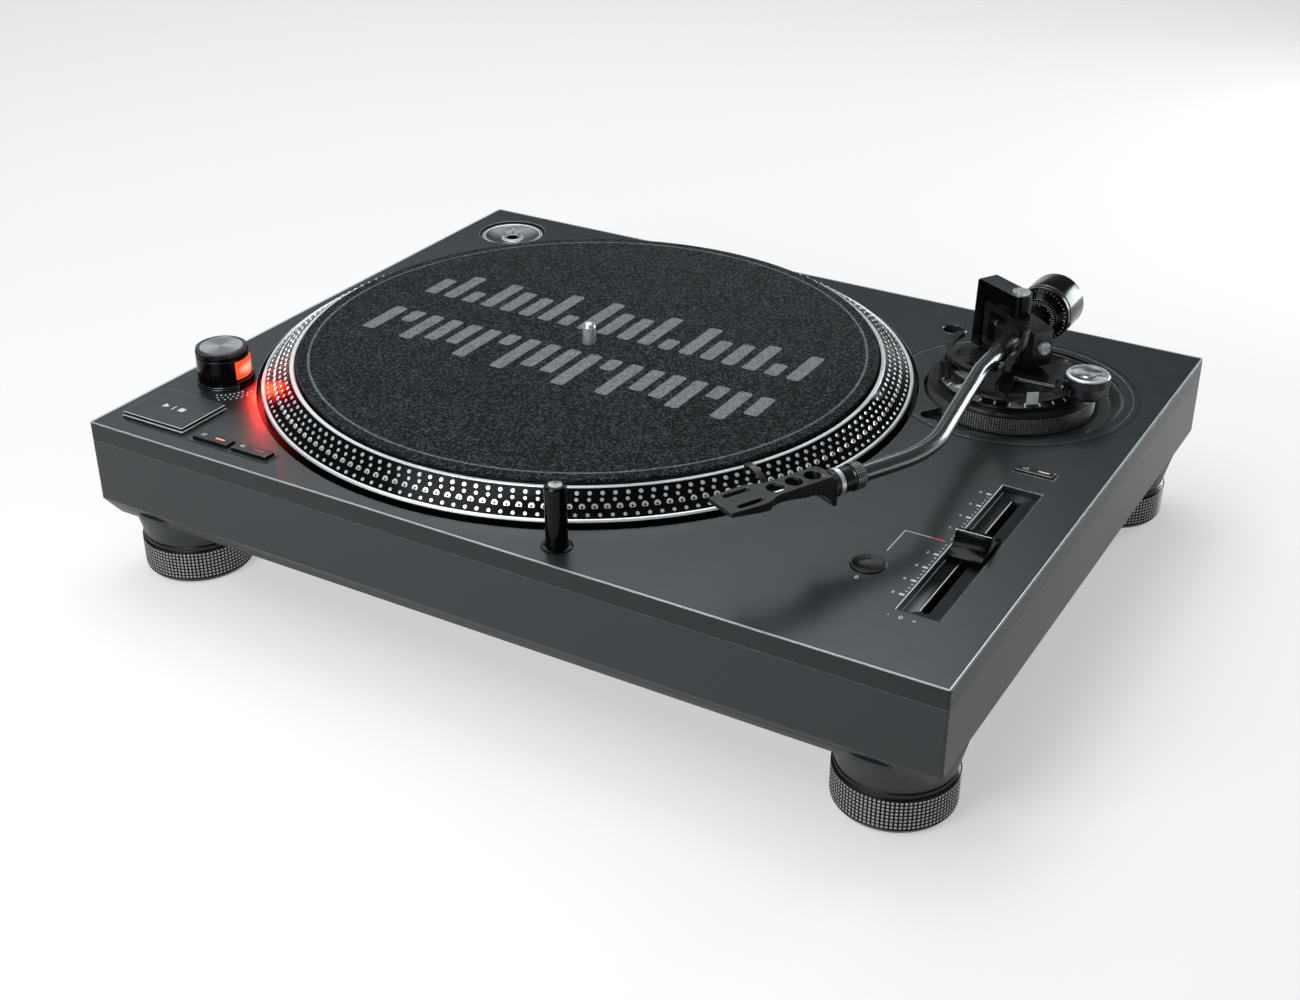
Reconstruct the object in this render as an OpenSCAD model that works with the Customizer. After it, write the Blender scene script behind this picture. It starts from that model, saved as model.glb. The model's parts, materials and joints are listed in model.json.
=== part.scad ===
// Direct-drive turntable with an S-shaped tonearm.
// +X is to the right, +Y to the back, +Z up. The origin is on the floor under the middle of the deck.
// Heights of what stands on the deck are counted from the top face of the top plate.

/* [Deck] */
// Width of the deck
deck_width = 453; // [449:1:460]
// Depth of the deck
deck_depth = 353; // [353:1:360]
// Height of the top plate's upper face above the floor
deck_top = 83.5; // [82:0.5:88]
// Height of the metal top plate's edge
plate_edge = 9.6; // [8:0.2:11]
// Diameter of each foot
foot_diameter = 55; // [50:1:57]

/* [Platter] */
// Outer diameter of the platter
platter_diameter = 334; // [330:1:335]
// Diameter of the mat
mat_diameter = 296; // [288:1:300]
// Diameter of the spindle
spindle_diameter = 7.15; // [7:0.05:7.3]
// Height of the spindle's tip above the deck
spindle_height = 25.2; // [23:0.2:28]

/* [Tonearm] */
// Distance from the spindle to the arm's pivot
pivot_distance = 218.2; // [216:0.2:220]
// Height of the arm's axis above the deck
arm_height = 31; // [30.5:0.5:34]
// Diameter of the S-shaped tube
tube_diameter = 8; // [7:0.1:8.6]
// Diameter of the counterweight
weight_diameter = 29.5; // [27:0.5:31]
// Diameter of the knurled height ring
ring_diameter = 85; // [83:0.5:86]

/* [Controls] */
// Diameter of the power knob
knob_diameter = 26.6; // [24:0.2:27]
// Height of the power knob's top above the deck
knob_height = 20; // [19:0.5:24]
// Width of the start button
start_width = 39; // [36:0.5:40]
// Height of the target light above the deck
light_height = 30.6; // [28:0.2:33]
// Travel of the pitch fader
fader_travel = 100; // [90:1:100]
// Diameter of the reset button
reset_diameter = 15.6; // [14:0.2:18]

/* [Hidden] */

$fn = 96;
eps = 0.01;

// Clearances: a running fit, a gap between still pieces, and a gap round moving ones.
fit = 0.05;
seam = 0.2;
gap = 0.3;

left = -deck_width / 2;
right = deck_width / 2;
front = -deck_depth / 2;
back = deck_depth / 2;

// Top plate and cabinet
plate_thick = 4.5;
wall = 3.4;
wall_foot = -42;
cabinet_foot = -51.5;
foot_inset = 6;
floor_thick = 3;
corner_round = 1.5;

// Platter and motor
platter_at = [left + 177.5, 3];
platter_r = platter_diameter / 2;
mat_r = mat_diameter / 2;
spindle_r = spindle_diameter / 2;
well_r = platter_r + 4.5;
well_floor = -14;
well_thick = 2.5;
well_wall = 1.2;
well_lip = 1.2;
tray_r = platter_r + 1;
web_top = 12.2;
web_under = 8.2;
hub_r = 22;
hub_under = 2;
mat_thick = 1.7;
bearing_r = 9;
bearing_foot = -38;

// Controls
start_at = [left + 29.5, front + 28.6];
start_depth = start_width * 0.79;
start_top = 3;
speed_at = [left + 79.2, front + 15.1];
speed_size = [49.4, 9.8];
speed_button = [21.5, 6.6];
speed_pitch = 24.2;
speed_top = 2;
power_at = [left + 25.1, front + 70];
knob_r = knob_diameter / 2;
knob_thick = 4;
light_at = [left + 263.8, front + 15.7];
light_r = 5;
light_travel = 22;
adapter_at = [left + 31.4, front + 321.9];
adapter_r = 18.8;
adapter_cup_r = adapter_r + 1.5;
adapter_depth = 6;
holder_r = 5.3;
channel_size = [19.6, 123];
channel_at = [right - 32, front + 104.6];
channel_depth = 3;
slot_width = 4;
reset_at = [right - 66.2, front + 69.7];
reset_r = reset_diameter / 2;
double_at = [right - 32.9, front + 184.5];
double_size = [20.6, 7.8];

// Tonearm: places are counted from the pivot, with the deck's directions.
spindle_to_pivot = 23.05;
pivot_at = platter_at + pivot_distance * [cos(spindle_to_pivot), sin(spindle_to_pivot)];
holder_at = pivot_at + [-54.38, 55.67];
panel_r = 61;
recess_r = 55.3;
recess_depth = 4.6;
panel_thick = 7;
ring_r = ring_diameter / 2;
ring_bore_r = 34.5;
ring_top = 5.7;
cup_r = ring_r + 3;
cup_floor = -6;
column_r = 31;
stem_r = 12;
stem_foot = -27;
scale_r = 37;
scale_top = 9;
body_r = 33;
body_top = 14;
platform_top = 17;
platform_r = 22;
tube_r = tube_diameter / 2;
bearing_turn = -30;
dial_at = [40.8, -7.8];
dial_r = 11.3;
dial_top = 22;
dial_foot = 12;
rest_at = [0, -36];
lift_r = 33;
lift_top = 22;
lift_from = 165;
lift_sweep = 85;
lift_post_angle = 210;
lever_at = [32, -22.1];
lever_tip = [-20.7, -7.2, 1.8];
bracket_out = 28.2;
bracket_lean = 1.4;
bracket_in = 22;
bracket_half = 5.5;
beam_under = 45.5;
beam_top = 52.8;
ring_half = 19.4;
ring_deep = 6;
screw_r = 3.2;
pin_r = 1.8;
weight_r = weight_diameter / 2;
shaft_r = 4;
shaft_end = 61;
weight_drop = 2;
weight_turn = -1.2;
dial_from = 30;
weight_from = 38;
weight_to = 58;
tube_route = [[0, 0], [0, -50], [12.1, -139.9], [-13.3, -191.2]];
sleeve_end = 27;
bend_r = 60;
shell_turn = atan2(tube_route[2][0] - tube_route[3][0], tube_route[2][1] - tube_route[3][1]);
shell_at = tube_route[3];
collar_r = 6.2;
shell_length = 57;
shell_top = 7.3;
shell_wall = 1.4;
clip_open = 95;
clip_pin = [9.4, 1.5];

// Feet
foot_r = foot_diameter / 2;
foot_at = [31.5, 31];
pod_foot = -62.2;
stud_r = 3;
feet = [[-1, -1], [1, -1], [-1, 1], [1, 1]];

// ---------- helpers ----------

module on_deck(place, z = 0) translate([place[0], place[1], deck_top + z]) children();

module at_pivot(z = 0) on_deck(pivot_at, z) children();

// The bearings and their bracket stand turned to the line of the headshell.
module at_bearings() at_pivot() rotate([0, 0, bearing_turn]) children();

module at_axis() at_pivot(arm_height) children();

// Along the shaft of the counterweight, which lies a little below the arm's axis.
module on_shaft() translate([0, 0, -weight_drop]) rotate([0, 0, weight_turn]) rotate([-90, 0, 0]) children();

// The headshell's own frame: X runs out to its tip and Y to its right side.
module at_shell() at_axis() translate([shell_at[0], shell_at[1], 0])
    rotate([0, 0, -90 - shell_turn]) mirror([0, 1, 0]) children();

module slab(size, thick, round = 0) {
    linear_extrude(height = thick)
        if (round > 0) rounded(size, round);
        else square(size, center = true);
}

module rounded(size, r) {
    square([size[0] - 2 * r, size[1]], center = true);
    square([size[0], size[1] - 2 * r], center = true);
    for (x = [-1, 1], y = [-1, 1])
        translate([x * (size[0] / 2 - r), y * (size[1] / 2 - r)]) circle(r);
}

module ring(outer, inner, thick) {
    difference() {
        cylinder(r = outer, h = thick);
        translate([0, 0, -eps]) cylinder(r = inner, h = thick + 2 * eps);
    }
}

// A profile in X and Z, drawn out along Y about the middle.
module profile(points, depth) {
    translate([0, depth / 2, 0]) rotate([90, 0, 0]) linear_extrude(height = depth) polygon(points);
}

// A rod between two points in space.
module rod(from, to, r) {
    run = to - from;
    translate(from) rotate([0, acos(run[2] / norm(run)), atan2(run[1], run[0])])
        cylinder(r = r, h = norm(run));
}

function heading(a, b) = atan2(b[1] - a[1], b[0] - a[0]);
function wrapped(a) = a > 180 ? a - 360 : a < -180 ? a + 360 : a;

// A round tube in one plane: straight stretches joined by arcs of one radius.
// Each arc runs a degree into both its neighbours and is a hair thinner, so they join cleanly.
module bent_tube(route, bend, r) {
    last = len(route) - 1;
    for (i = [0:last - 1]) {
        a = heading(route[i], route[i + 1]);
        full = norm(route[i + 1] - route[i]);
        cut_in = i == 0 ? 0 : bend * tan(abs(wrapped(a - heading(route[i - 1], route[i]))) / 2);
        turn = i == last - 1 ? 0 : wrapped(heading(route[i + 1], route[i + 2]) - a);
        cut_out = bend * tan(abs(turn) / 2);
        translate(route[i]) rotate([0, 0, a]) {
            translate([cut_in, 0, 0]) rotate([0, 90, 0]) cylinder(r = r, h = full - cut_in - cut_out);
            if (turn != 0)
                translate([full - cut_out, sign(turn) * bend, 0])
                    rotate([0, 0, (turn > 0 ? -90 : 90 + turn) - 1])
                        rotate_extrude(angle = abs(turn) + 2) translate([bend, 0]) circle(r - 0.02);
        }
    }
}

// ---------- deck ----------

module cabinet_form(inset = 0) {
    w = deck_width / 2 - inset;
    d = deck_depth / 2 - inset;
    top = -plate_edge;
    foot = cabinet_foot + (inset > 0 ? floor_thick : 0);
    intersection() {
        profile([[-w, top], [-w, wall_foot], [-w + foot_inset, foot], [w - foot_inset, foot],
            [w, wall_foot], [w, top]], deck_depth * 2);
        rotate([0, 0, 90])
            profile([[-d, top], [-d, wall_foot], [-d + foot_inset, foot], [d - foot_inset, foot],
                [d, wall_foot], [d, top]], deck_width * 2);
        translate([0, 0, cabinet_foot - 1]) slab([2 * w, 2 * d], 60, corner_round);
    }
}

module deck_holes(grow = 0) {
    translate(platter_at) circle(well_r + grow, $fn = 180);
    translate(pivot_at) circle(panel_r + seam + grow);
    translate(start_at) square([start_width + 1.6, start_depth + 1.6], center = true);
    translate(speed_at) square(speed_size, center = true);
    translate(power_at) circle(knob_r - 2);
    translate(light_at) circle(light_r + 1.5);
    translate(adapter_at) circle(adapter_cup_r);
    translate(holder_at) circle(holder_r + 1.4);
    translate(channel_at) square(channel_size, center = true);
    translate(reset_at) circle(reset_r + gap);
    translate(double_at) square(double_size, center = true);
}

module top_plate() color([0.13, 0.13, 0.14]) on_deck([0, 0], -plate_edge) difference() {
    slab([deck_width, deck_depth], plate_edge, corner_round);
    translate([0, 0, -eps])
        slab([deck_width - 2 * wall, deck_depth - 2 * wall], plate_edge - plate_thick + eps);
    linear_extrude(height = plate_edge + 1) deck_holes();
}

screw_posts = [[left + 14, front + 95], [left + 14, back - 95], [right - 14, front + 95],
    [right - 14, 20], [60, back - 12], [80, front + 12]];

module base_cabinet() color([0.11, 0.11, 0.12]) on_deck([0, 0]) difference() {
    union() {
        difference() {
            cabinet_form();
            translate([0, 0, eps]) cabinet_form(wall);
            translate([0, 0, cabinet_foot - 1])
                slab([deck_width - 36, deck_depth - 36], floor_thick + 2);
        }
        for (s = feet) translate([s[0] * (right - foot_at[0]), s[1] * (back - foot_at[1])]) {
            translate([0, 0, pod_foot])
                cylinder(r1 = foot_r - 1.2, r2 = foot_r + 2.4, h = cabinet_foot - pod_foot + 5);
            translate([0, 0, cabinet_foot]) cylinder(r = 8, h = 20);
        }
        for (p = screw_posts) translate([p[0], p[1], cabinet_foot + floor_thick - 1])
            cylinder(r = 4.2, h = -plate_thick - cabinet_foot - floor_thick + 1);
        jack_recess_walls();
    }
    for (s = feet) translate([s[0] * (right - foot_at[0]), s[1] * (back - foot_at[1]), pod_foot - 1])
        cylinder(r = stud_r + fit, h = 26);
    jack_recesses();
    for (x = [-1, 1]) translate([x * hinge_x, back, -24])
        cube([hinge_slot[0] + 2 * seam, 2 * wall + 2, hinge_slot[1] + 2 * seam], center = true);
}

module bottom_cover() color([0.09, 0.09, 0.09]) on_deck([0, 0], cabinet_foot) difference() {
    slab([deck_width - 36 - 2 * gap, deck_depth - 36 - 2 * gap], floor_thick);
    for (x = [-9:9]) translate([x * 9, -95, -1]) slab([3.4, 46], 6);
    for (s = feet) translate([s[0] * (right - foot_at[0]), s[1] * (back - foot_at[1]), -1])
        cylinder(r = foot_r + 3.4, h = 6);
}

// ---------- back of the deck ----------

hinge_x = deck_width / 2 - 62;
hinge_slot = [38, 26];
recess_size = [78, 16, 22];
phono_at = hinge_x - hinge_slot[0] / 2 - recess_size[0] / 2 - 6;
inlet_at = -phono_at;
jack_z = -30.5;
socket_deep = 18;

module jack_recess_walls() {
    for (x = [phono_at, inlet_at]) translate([x, back - recess_size[1] / 2 - 2.25, jack_z])
        cube([recess_size[0] + 6, recess_size[1] + 1.5, recess_size[2] + 5], center = true);
}

module jack_recesses() {
    for (x = [phono_at, inlet_at]) translate([x, back - recess_size[1] / 2 + 2, jack_z])
        cube([recess_size[0], recess_size[1] + 4, recess_size[2]], center = true);
    for (x = [-9, 9]) translate([phono_at + x, back - 30, jack_z]) rotate([-90, 0, 0])
        cylinder(r = 4.1 + fit, h = 20);
    translate([phono_at + 28, back - 30, jack_z]) rotate([-90, 0, 0]) cylinder(r = 2 + fit, h = 20);
    translate([inlet_at, back - 20, jack_z]) cube([28.4, 20, 17.4], center = true);
}

jack_face = recess_size[1];

module phono_jacks() color([0.75, 0.6, 0.3]) on_deck([phono_at, back - jack_face], jack_z) {
    for (x = [-9, 9]) translate([x, 0, 0]) rotate([-90, 0, 0]) difference() {
        union() {
            cylinder(r = 6.4, h = 2);
            cylinder(r = 4.15, h = 10);
            translate([0, 0, -6]) cylinder(r = 4.1, h = 7);
        }
        translate([0, 0, 1]) ring(3.4, 2.6, 10);
        translate([0, 0, -2]) cylinder(r = 1.6, h = 13);
    }
}

module ground_terminal() color([0.7, 0.7, 0.72]) on_deck([phono_at + 28, back - jack_face], jack_z)
    rotate([-90, 0, 0]) {
        translate([0, 0, -6]) cylinder(r = 2, h = 14);
        translate([0, 0, 2]) cylinder(r = 5, h = 5);
        cylinder(r = 4, h = 1);
    }

module mains_inlet() color([0.06, 0.06, 0.06]) on_deck([inlet_at, back - jack_face], jack_z)
    difference() {
        union() {
            translate([0, -4, 0]) cube([28, 10, 17], center = true);
            translate([0, 1.5, 0]) cube([34, 3, 20], center = true);
        }
        translate([0, 1.5, 0]) cube([19, 7, 10], center = true);
    }

module hinge_sockets() color([0.06, 0.06, 0.06]) for (x = [-1, 1])
    on_deck([x * hinge_x, back - socket_deep / 2], -24) difference() {
        cube([hinge_slot[0], socket_deep, hinge_slot[1]], center = true);
        translate([0, 3, 0]) cube([hinge_slot[0] - 8, socket_deep, hinge_slot[1] - 8], center = true);
    }

// ---------- inside ----------

// A round tray hung from the top plate by a thin lip, with the motor on its floor.
module platter_well() color([0.05, 0.05, 0.05]) on_deck(platter_at) difference() {
    intersection() {
        rotate_extrude($fn = 180) polygon([
            [bearing_r + gap, well_floor - well_thick], [tray_r + well_wall, well_floor - well_thick],
            [tray_r + well_wall, -plate_thick - 1.5], [well_r + well_lip, -plate_thick - 1.5],
            [well_r + well_lip, -plate_thick], [tray_r, -plate_thick], [tray_r, well_floor],
            [bearing_r + gap, well_floor]]);
        translate([-platter_at[0], -platter_at[1], -30])
            slab([deck_width - 2 * wall - gap, deck_depth - 2 * wall - gap], 40);
    }
    translate([pivot_at[0] - platter_at[0], pivot_at[1] - platter_at[1], -40])
        cylinder(r = cup_r + 2, h = 60);
}

module bearing_housing() color([0.6, 0.58, 0.5]) on_deck(platter_at) difference() {
    union() {
        translate([0, 0, bearing_foot]) cylinder(r = bearing_r, h = -1 - bearing_foot);
        translate([0, 0, well_floor]) cylinder(r = 19, h = 3);
    }
    translate([0, 0, bearing_foot + 3]) cylinder(r = spindle_r + fit, h = 60);
}

module motor_coils() color([0.72, 0.42, 0.2]) on_deck(platter_at, well_floor) {
    ring(72, 20, 1.6);
    for (i = [0:8]) rotate([0, 0, i * 40]) translate([40, 0, 1.2]) ring(12.5, 4.5, 14.2);
}

module power_supply_board() color([0.1, 0.35, 0.16])
    on_deck([inlet_at, back - 75], cabinet_foot + floor_thick) {
        for (x = [-50, 50], y = [-28, 28]) translate([x, y, 0]) cylinder(r = 3, h = 6);
        translate([0, 0, 6]) slab([116, 70], 1.6);
        translate([-24, 6, 7.6]) slab([36, 30], 17);
        for (x = [12, 28, 44]) translate([x, -12, 7.6]) cylinder(r = 6, h = 16);
        translate([30, 16, 7.6]) slab([30, 4], 14);
    }

module control_board() color([0.1, 0.35, 0.16])
    on_deck([right - 88, front + 82], cabinet_foot + floor_thick) {
        for (x = [-36, 36], y = [-22, 22]) translate([x, y, 0]) cylinder(r = 3, h = 6);
        translate([0, 0, 6]) slab([86, 56], 1.6);
        translate([-14, 4, 7.6]) slab([16, 16], 1.8);
        for (x = [16, 26]) translate([x, -8, 7.6]) slab([7, 18], 5);
    }

// An L-shaped board under the start and speed buttons, hung from the top plate.
module switch_board() color([0.1, 0.35, 0.16]) on_deck([0, 0], -17) {
    translate([left, front, 0]) linear_extrude(height = 1.6)
        polygon([[9, 8], [113.5, 8], [113.5, 20.5], [58.5, 20.5], [58.5, 50.5], [9, 50.5]]);
    translate([start_at[0], start_at[1], 1.5]) slab([12, 12], 6.5);
    for (s = [-1, 1]) translate([speed_at[0] + s * speed_pitch / 2, speed_at[1], 1.5]) slab([6, 6], 6.5);
    for (p = [[13.5, 48], [54, 46.5], [109.5, 14]]) translate([left + p[0], front + p[1], 1.5])
        cylinder(r = 2.5, h = 17 - 1.5 - plate_thick);
}

// The board under the pitch fader, with the switches of the reset and range buttons.
module pitch_board() color([0.1, 0.35, 0.16]) on_deck([right, front], -19.6) {
    linear_extrude(height = 1.6)
        polygon([[-48.5, 34], [-19.5, 34], [-19.5, 191], [-48.5, 191], [-48.5, 82], [-76, 82],
            [-76, 57], [-48.5, 57]]);
    translate([reset_at[0] - right, reset_at[1] - front, 1.5]) slab([6, 6], 8.1);
    translate([double_at[0] - right, double_at[1] - front, 1.5]) slab([6, 6], 9.1);
    for (p = [[-45.5, 38], [-45.5, 160], [-73, 60]]) translate([p[0], p[1], 1.5])
        cylinder(r = 2.4, h = 19.6 - 1.5 - plate_thick);
}

// ---------- platter ----------

// The dished rim: a polished bead at the foot, a black slope for the dots and a fine ring above.
module platter() color([0.62, 0.63, 0.64]) on_deck(platter_at) difference() {
    union() {
        rotate_extrude($fn = 180) polygon([
            [spindle_r + fit, hub_under], [hub_r, hub_under], [hub_r, web_under],
            [platter_r - 15, web_under], [platter_r - 7.4, 4.4], [platter_r - 7.4, 0.9],
            [platter_r - 0.9, 0.9], [platter_r, 1.7], [platter_r, 2.9], [platter_r - 0.9, 3.9],
            [platter_r - 2, 3.6], [platter_r - 11.8, 10.5], [platter_r - 12.6, 11.4],
            [platter_r - 14, 11.7], [platter_r - 15.6, 11.7], [platter_r - 16.2, web_top],
            [spindle_r + fit, web_top]]);
        for (i = [0:11]) rotate([0, 0, i * 30]) translate([hub_r - 1, -1.5, web_under - 3.2])
            cube([platter_r - 36, 3, 4]);
        translate([0, 0, web_under - 3.2]) ring(74, 71, 4);
    }
    for (i = [0:1]) rotate([0, 0, i * 180 + 45]) translate([88, 0, 0]) cylinder(r = 9, h = 30);
    translate([0, 0, 0]) ring(59, 23, web_under);
}

module rotor_magnet() color([0.2, 0.2, 0.22]) on_deck(platter_at, 2.6) ring(58, 24, web_under - 2.6);

// A shallow groove inside the mat's hole ends the stretch that a record's hole goes on.
module spindle() color([0.8, 0.8, 0.82]) on_deck(platter_at) difference() {
    union() {
        translate([0, 0, bearing_foot + 3.3])
            cylinder(r = spindle_r, h = spindle_height - 2.2 - bearing_foot - 3.3);
        translate([0, 0, spindle_height - 2.2]) rotate_extrude()
            intersection() {
                translate([0, -1.6]) scale([1, 1]) circle(r = norm([spindle_r, 1.6]));
                square([spindle_r, 2.2]);
            }
        translate([0, 0, -0.4]) cylinder(r = 12, h = hub_under + 0.4);
    }
    translate([0, 0, web_top + mat_thick - 1.3]) ring(spindle_r + 1, spindle_r - 0.2, 1.6);
}

module slipmat() color([0.08, 0.08, 0.08]) on_deck(platter_at, web_top)
    difference() {
        cylinder(r = mat_r, h = mat_thick, $fn = 180);
        translate([0, 0, -1]) cylinder(r = spindle_r + 0.25, h = mat_thick + 2);
    }

// ---------- buttons ----------

module start_stop_button() color([0.14, 0.14, 0.15]) on_deck(start_at) {
    size = [start_width, start_depth];
    translate([0, 0, start_top - 1.9]) slab(size, 1.9, 0.8);
    translate([0, 0, -3]) slab(size + [0.8, 0.8], 4.1, 0.8);
    translate([0, 0, -7.6]) cylinder(r = 3, h = 5);
}

// The frames let into the deck round the speed buttons and the range button.
module button_bezels() color([0.07, 0.07, 0.07]) {
    on_deck(speed_at, -5) difference() {
        slab(speed_size, 5.4);
        for (s = [-1, 1]) translate([s * speed_pitch / 2, 0.5, 1.2])
            slab(speed_button + [2 * gap, 2 * gap], 6);
        for (s = [-1, 1]) translate([s * speed_pitch / 2, 0, -1]) cylinder(r = 2.4, h = 6);
    }
    on_deck(double_at, -5) difference() {
        slab(double_size, 5.4);
        translate([0, 0, 1.2]) slab(double_size - [2, 2] + [gap, gap], 6);
        translate([0, 0, -1]) cylinder(r = 1.9, h = 6);
    }
}

module speed_button(side) color([0.2, 0.2, 0.21])
    on_deck(speed_at + [side * speed_pitch / 2, 0.5]) {
        translate([0, 0, speed_top - 4.2]) slab(speed_button, 4.2, 0.5);
        translate([0, -0.5, -8]) cylinder(r = 2, h = 6.2);
    }

module speed_33_button() speed_button(-1);

module speed_45_button() speed_button(1);

// ---------- power tower ----------

window_from = -20;
window_to = 44;

module tower_profile() {
    rotate_extrude() difference() {
        polygon([[0, 0], [knob_r + 0.9, 0], [knob_r + 0.9, 0.9], [knob_r + 0.2, 1.8],
            [knob_r, knob_height - knob_thick - 0.4], [0, knob_height - knob_thick - 0.4]]);
        translate([-eps, -1]) square([knob_r - 2.4, knob_height - knob_thick - 2.4]);
    }
}

module window_sector(r_from, r_to, z_from, z_to) {
    rotate([0, 0, window_from]) rotate_extrude(angle = window_to - window_from)
        translate([r_from, z_from]) square([r_to - r_from, z_to - z_from]);
}

window_z = [5.2, 14.6];

module strobe_housing() color([0.05, 0.05, 0.05]) on_deck(power_at) {
    difference() {
        tower_profile();
        window_sector(knob_r - 4, knob_r + 2, window_z[0], window_z[1]);
        cylinder(r = 3 + fit, h = 40);
    }
    difference() {
        window_sector(knob_r - 1, knob_r + 1.9, 0, 4.4);
        translate([0, 0, -1]) cylinder(r = knob_r - 0.5, h = 8);
    }
    translate([0, 0, -16]) ring(knob_r - 2.2, 9, 18);
}

module strobe_window() color([0.95, 0.3, 0.1]) on_deck(power_at)
    intersection() {
        window_sector(knob_r - 2.3, knob_r + 0.6, window_z[0] + 0.1, window_z[1] - 0.1);
        rotate([0, 0, window_from + 0.6]) rotate_extrude(angle = window_to - window_from - 1.2)
            translate([2, 0]) square([20, 30]);
    }

module power_knob() color([0.3, 0.3, 0.31]) on_deck(power_at) {
    translate([0, 0, knob_height - knob_thick]) rotate_extrude() polygon([
        [0, 0], [knob_r - 0.4, 0], [knob_r, 0.4], [knob_r, knob_thick - 1.3],
        [knob_r - 1.2, knob_thick - 0.1], [knob_r - 2.2, knob_thick], [knob_r - 3, knob_thick - 0.8],
        [0, knob_thick - 1.7]]);
    translate([0, 0, -10]) cylinder(r = 3, h = knob_height - knob_thick + 10.5);
}

// ---------- target light ----------

module light_collar() color([0.1, 0.1, 0.1]) on_deck(light_at) difference() {
    union() {
        rotate_extrude() polygon([[light_r + gap, 0], [light_r + 2.3, 0], [light_r + 2, 0.7],
            [light_r + 0.9, 1], [light_r + gap, 1]]);
        translate([0, 0, -36]) ring(light_r + 1.4, light_r + gap, 36.5);
        translate([0, 0, -38]) cylinder(r = light_r + 1.4, h = 2.5);
    }
    translate([0, 0, -32]) rotate([90, 0, 0]) cylinder(r = 2, h = 20);
}

module light_post() color([0.06, 0.06, 0.06]) on_deck(light_at) difference() {
    union() {
        translate([0, 0, -12]) cylinder(r = light_r, h = light_height + 10.8);
        translate([0, 0, light_height - 1.2]) rotate_extrude()
            polygon([[0, 0], [light_r, 0], [light_r - 0.5, 1], [light_r - 1.2, 1.2], [0, 1]]);
    }
    translate([0, light_r + 1, light_height - 7]) rotate([112, 0, 0]) cylinder(r = 2.6, h = 5);
    translate([0, 0, -13]) cylinder(r = 3, h = light_height);
}

// ---------- adapter and headshell holder ----------

module adapter_cup() color([0.06, 0.06, 0.06]) on_deck(adapter_at) difference() {
    translate([0, 0, -adapter_depth - 1.5]) cylinder(r = adapter_cup_r - 0.05, h = adapter_depth + 1.4);
    translate([0, 0, -adapter_depth]) cylinder(r = adapter_r + 0.5, h = 10);
}

module adapter_45() color([0.07, 0.07, 0.07]) on_deck(adapter_at, -adapter_depth) rotate_extrude()
    polygon([[spindle_r + 0.1, 0], [adapter_r, 0], [adapter_r, 4.6], [adapter_r - 0.6, 5.2],
        [adapter_r - 2, 5.2], [adapter_r - 2.6, 4.7], [6.4, 2.6], [5.6, 3.4], [spindle_r + 0.1, 3.4]]);

module headshell_holder() color([0.05, 0.05, 0.05]) on_deck(holder_at) {
    rotate_extrude() polygon([[holder_r, -22], [holder_r + 1.35, -22], [holder_r + 1.35, 0],
        [holder_r + 2.4, 0], [holder_r + 2, 0.7], [holder_r + 0.5, 0.8], [holder_r, 0.2]]);
    translate([0, 0, -24]) cylinder(r = holder_r + 1.35, h = 2.2);
}

// ---------- pitch control ----------

module pitch_channel() color([0.06, 0.06, 0.06]) on_deck(channel_at) difference() {
    translate([0, 0, -5]) slab(channel_size - [0.1, 0.1], 5);
    translate([0, 0, -channel_depth]) slab(channel_size - [1.4, 1.4], 5);
    translate([0, 0, -8]) slab([slot_width, fader_travel + 8], 12, 1.9);
}

module pitch_fader() color([0.35, 0.35, 0.36]) on_deck(channel_at, -18) difference() {
    translate([0, 0, 0]) slab([12, channel_size[1] - 3], 13);
    translate([0, 0, 2]) slab([8.4, fader_travel + 12], 20);
}

module pitch_knob() color([0.07, 0.07, 0.07]) on_deck(channel_at) {
    rotate([0, 0, 90]) profile([[-12.4, -2], [-12.4, 2.2], [-7.4, 6], [-2, 7.6], [-1, 8], [1, 8],
        [2, 7.6], [7.4, 6], [12.4, 2.2], [12.4, -2]], 16);
    translate([0, 0, -12]) slab([slot_width - 2 * gap, 5.4], 10.5);
    translate([0, 0, -15.4]) slab([8.4 - 2 * gap, 5.4], 6);
}

module reset_button() color([0.2, 0.2, 0.21]) on_deck(reset_at) difference() {
    union() {
        translate([0, 0, -5]) cylinder(r = reset_r, h = 6);
        translate([0, 0, -9]) cylinder(r = 3, h = 5);
    }
    translate([0, 0, 10.6]) rotate([0, 90, 30]) cylinder(r = 10, h = 60, center = true);
}

module double_button() color([0.2, 0.2, 0.21]) on_deck(double_at) {
    translate([0, 0, -2.6]) slab(double_size - [2 + gap, 2 + gap], 4, 0.5);
    translate([0, 0, -8]) cylinder(r = 1.6, h = 6);
}

// ---------- tonearm base ----------

// A round panel let into the deck and cut by the platter's well, with a sloping recess on its right.
module arm_panel() color([0.12, 0.12, 0.13]) on_deck([0, 0]) difference() {
    union() {
        translate([pivot_at[0], pivot_at[1], -panel_thick]) cylinder(r = panel_r, h = panel_thick);
        translate([pivot_at[0], pivot_at[1], -panel_thick])
            cylinder(r = panel_r + 2.6, h = panel_thick - plate_thick);
    }
    translate([pivot_at[0], pivot_at[1], -20]) cylinder(r = cup_r - 1, h = 40);
    translate([platter_at[0], platter_at[1], -20]) cylinder(r = well_r, h = 40, $fn = 180);
    translate([platter_at[0], platter_at[1], -20])
        cylinder(r = well_r + well_lip + seam, h = 20 - plate_thick, $fn = 180);
    translate(pivot_at) rotate([0, 0, -122]) rotate_extrude(angle = 236)
        polygon([[ring_r, 1], [ring_r, -recess_depth], [recess_r - 5, -recess_depth],
            [recess_r, -0.9], [recess_r + 1.2, -0.9], [recess_r + 1.2, 1]]);
    translate([pivot_at[0] - 25, pivot_at[1] - 48, -20]) cylinder(r = 4.4, h = 40);
}

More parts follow.
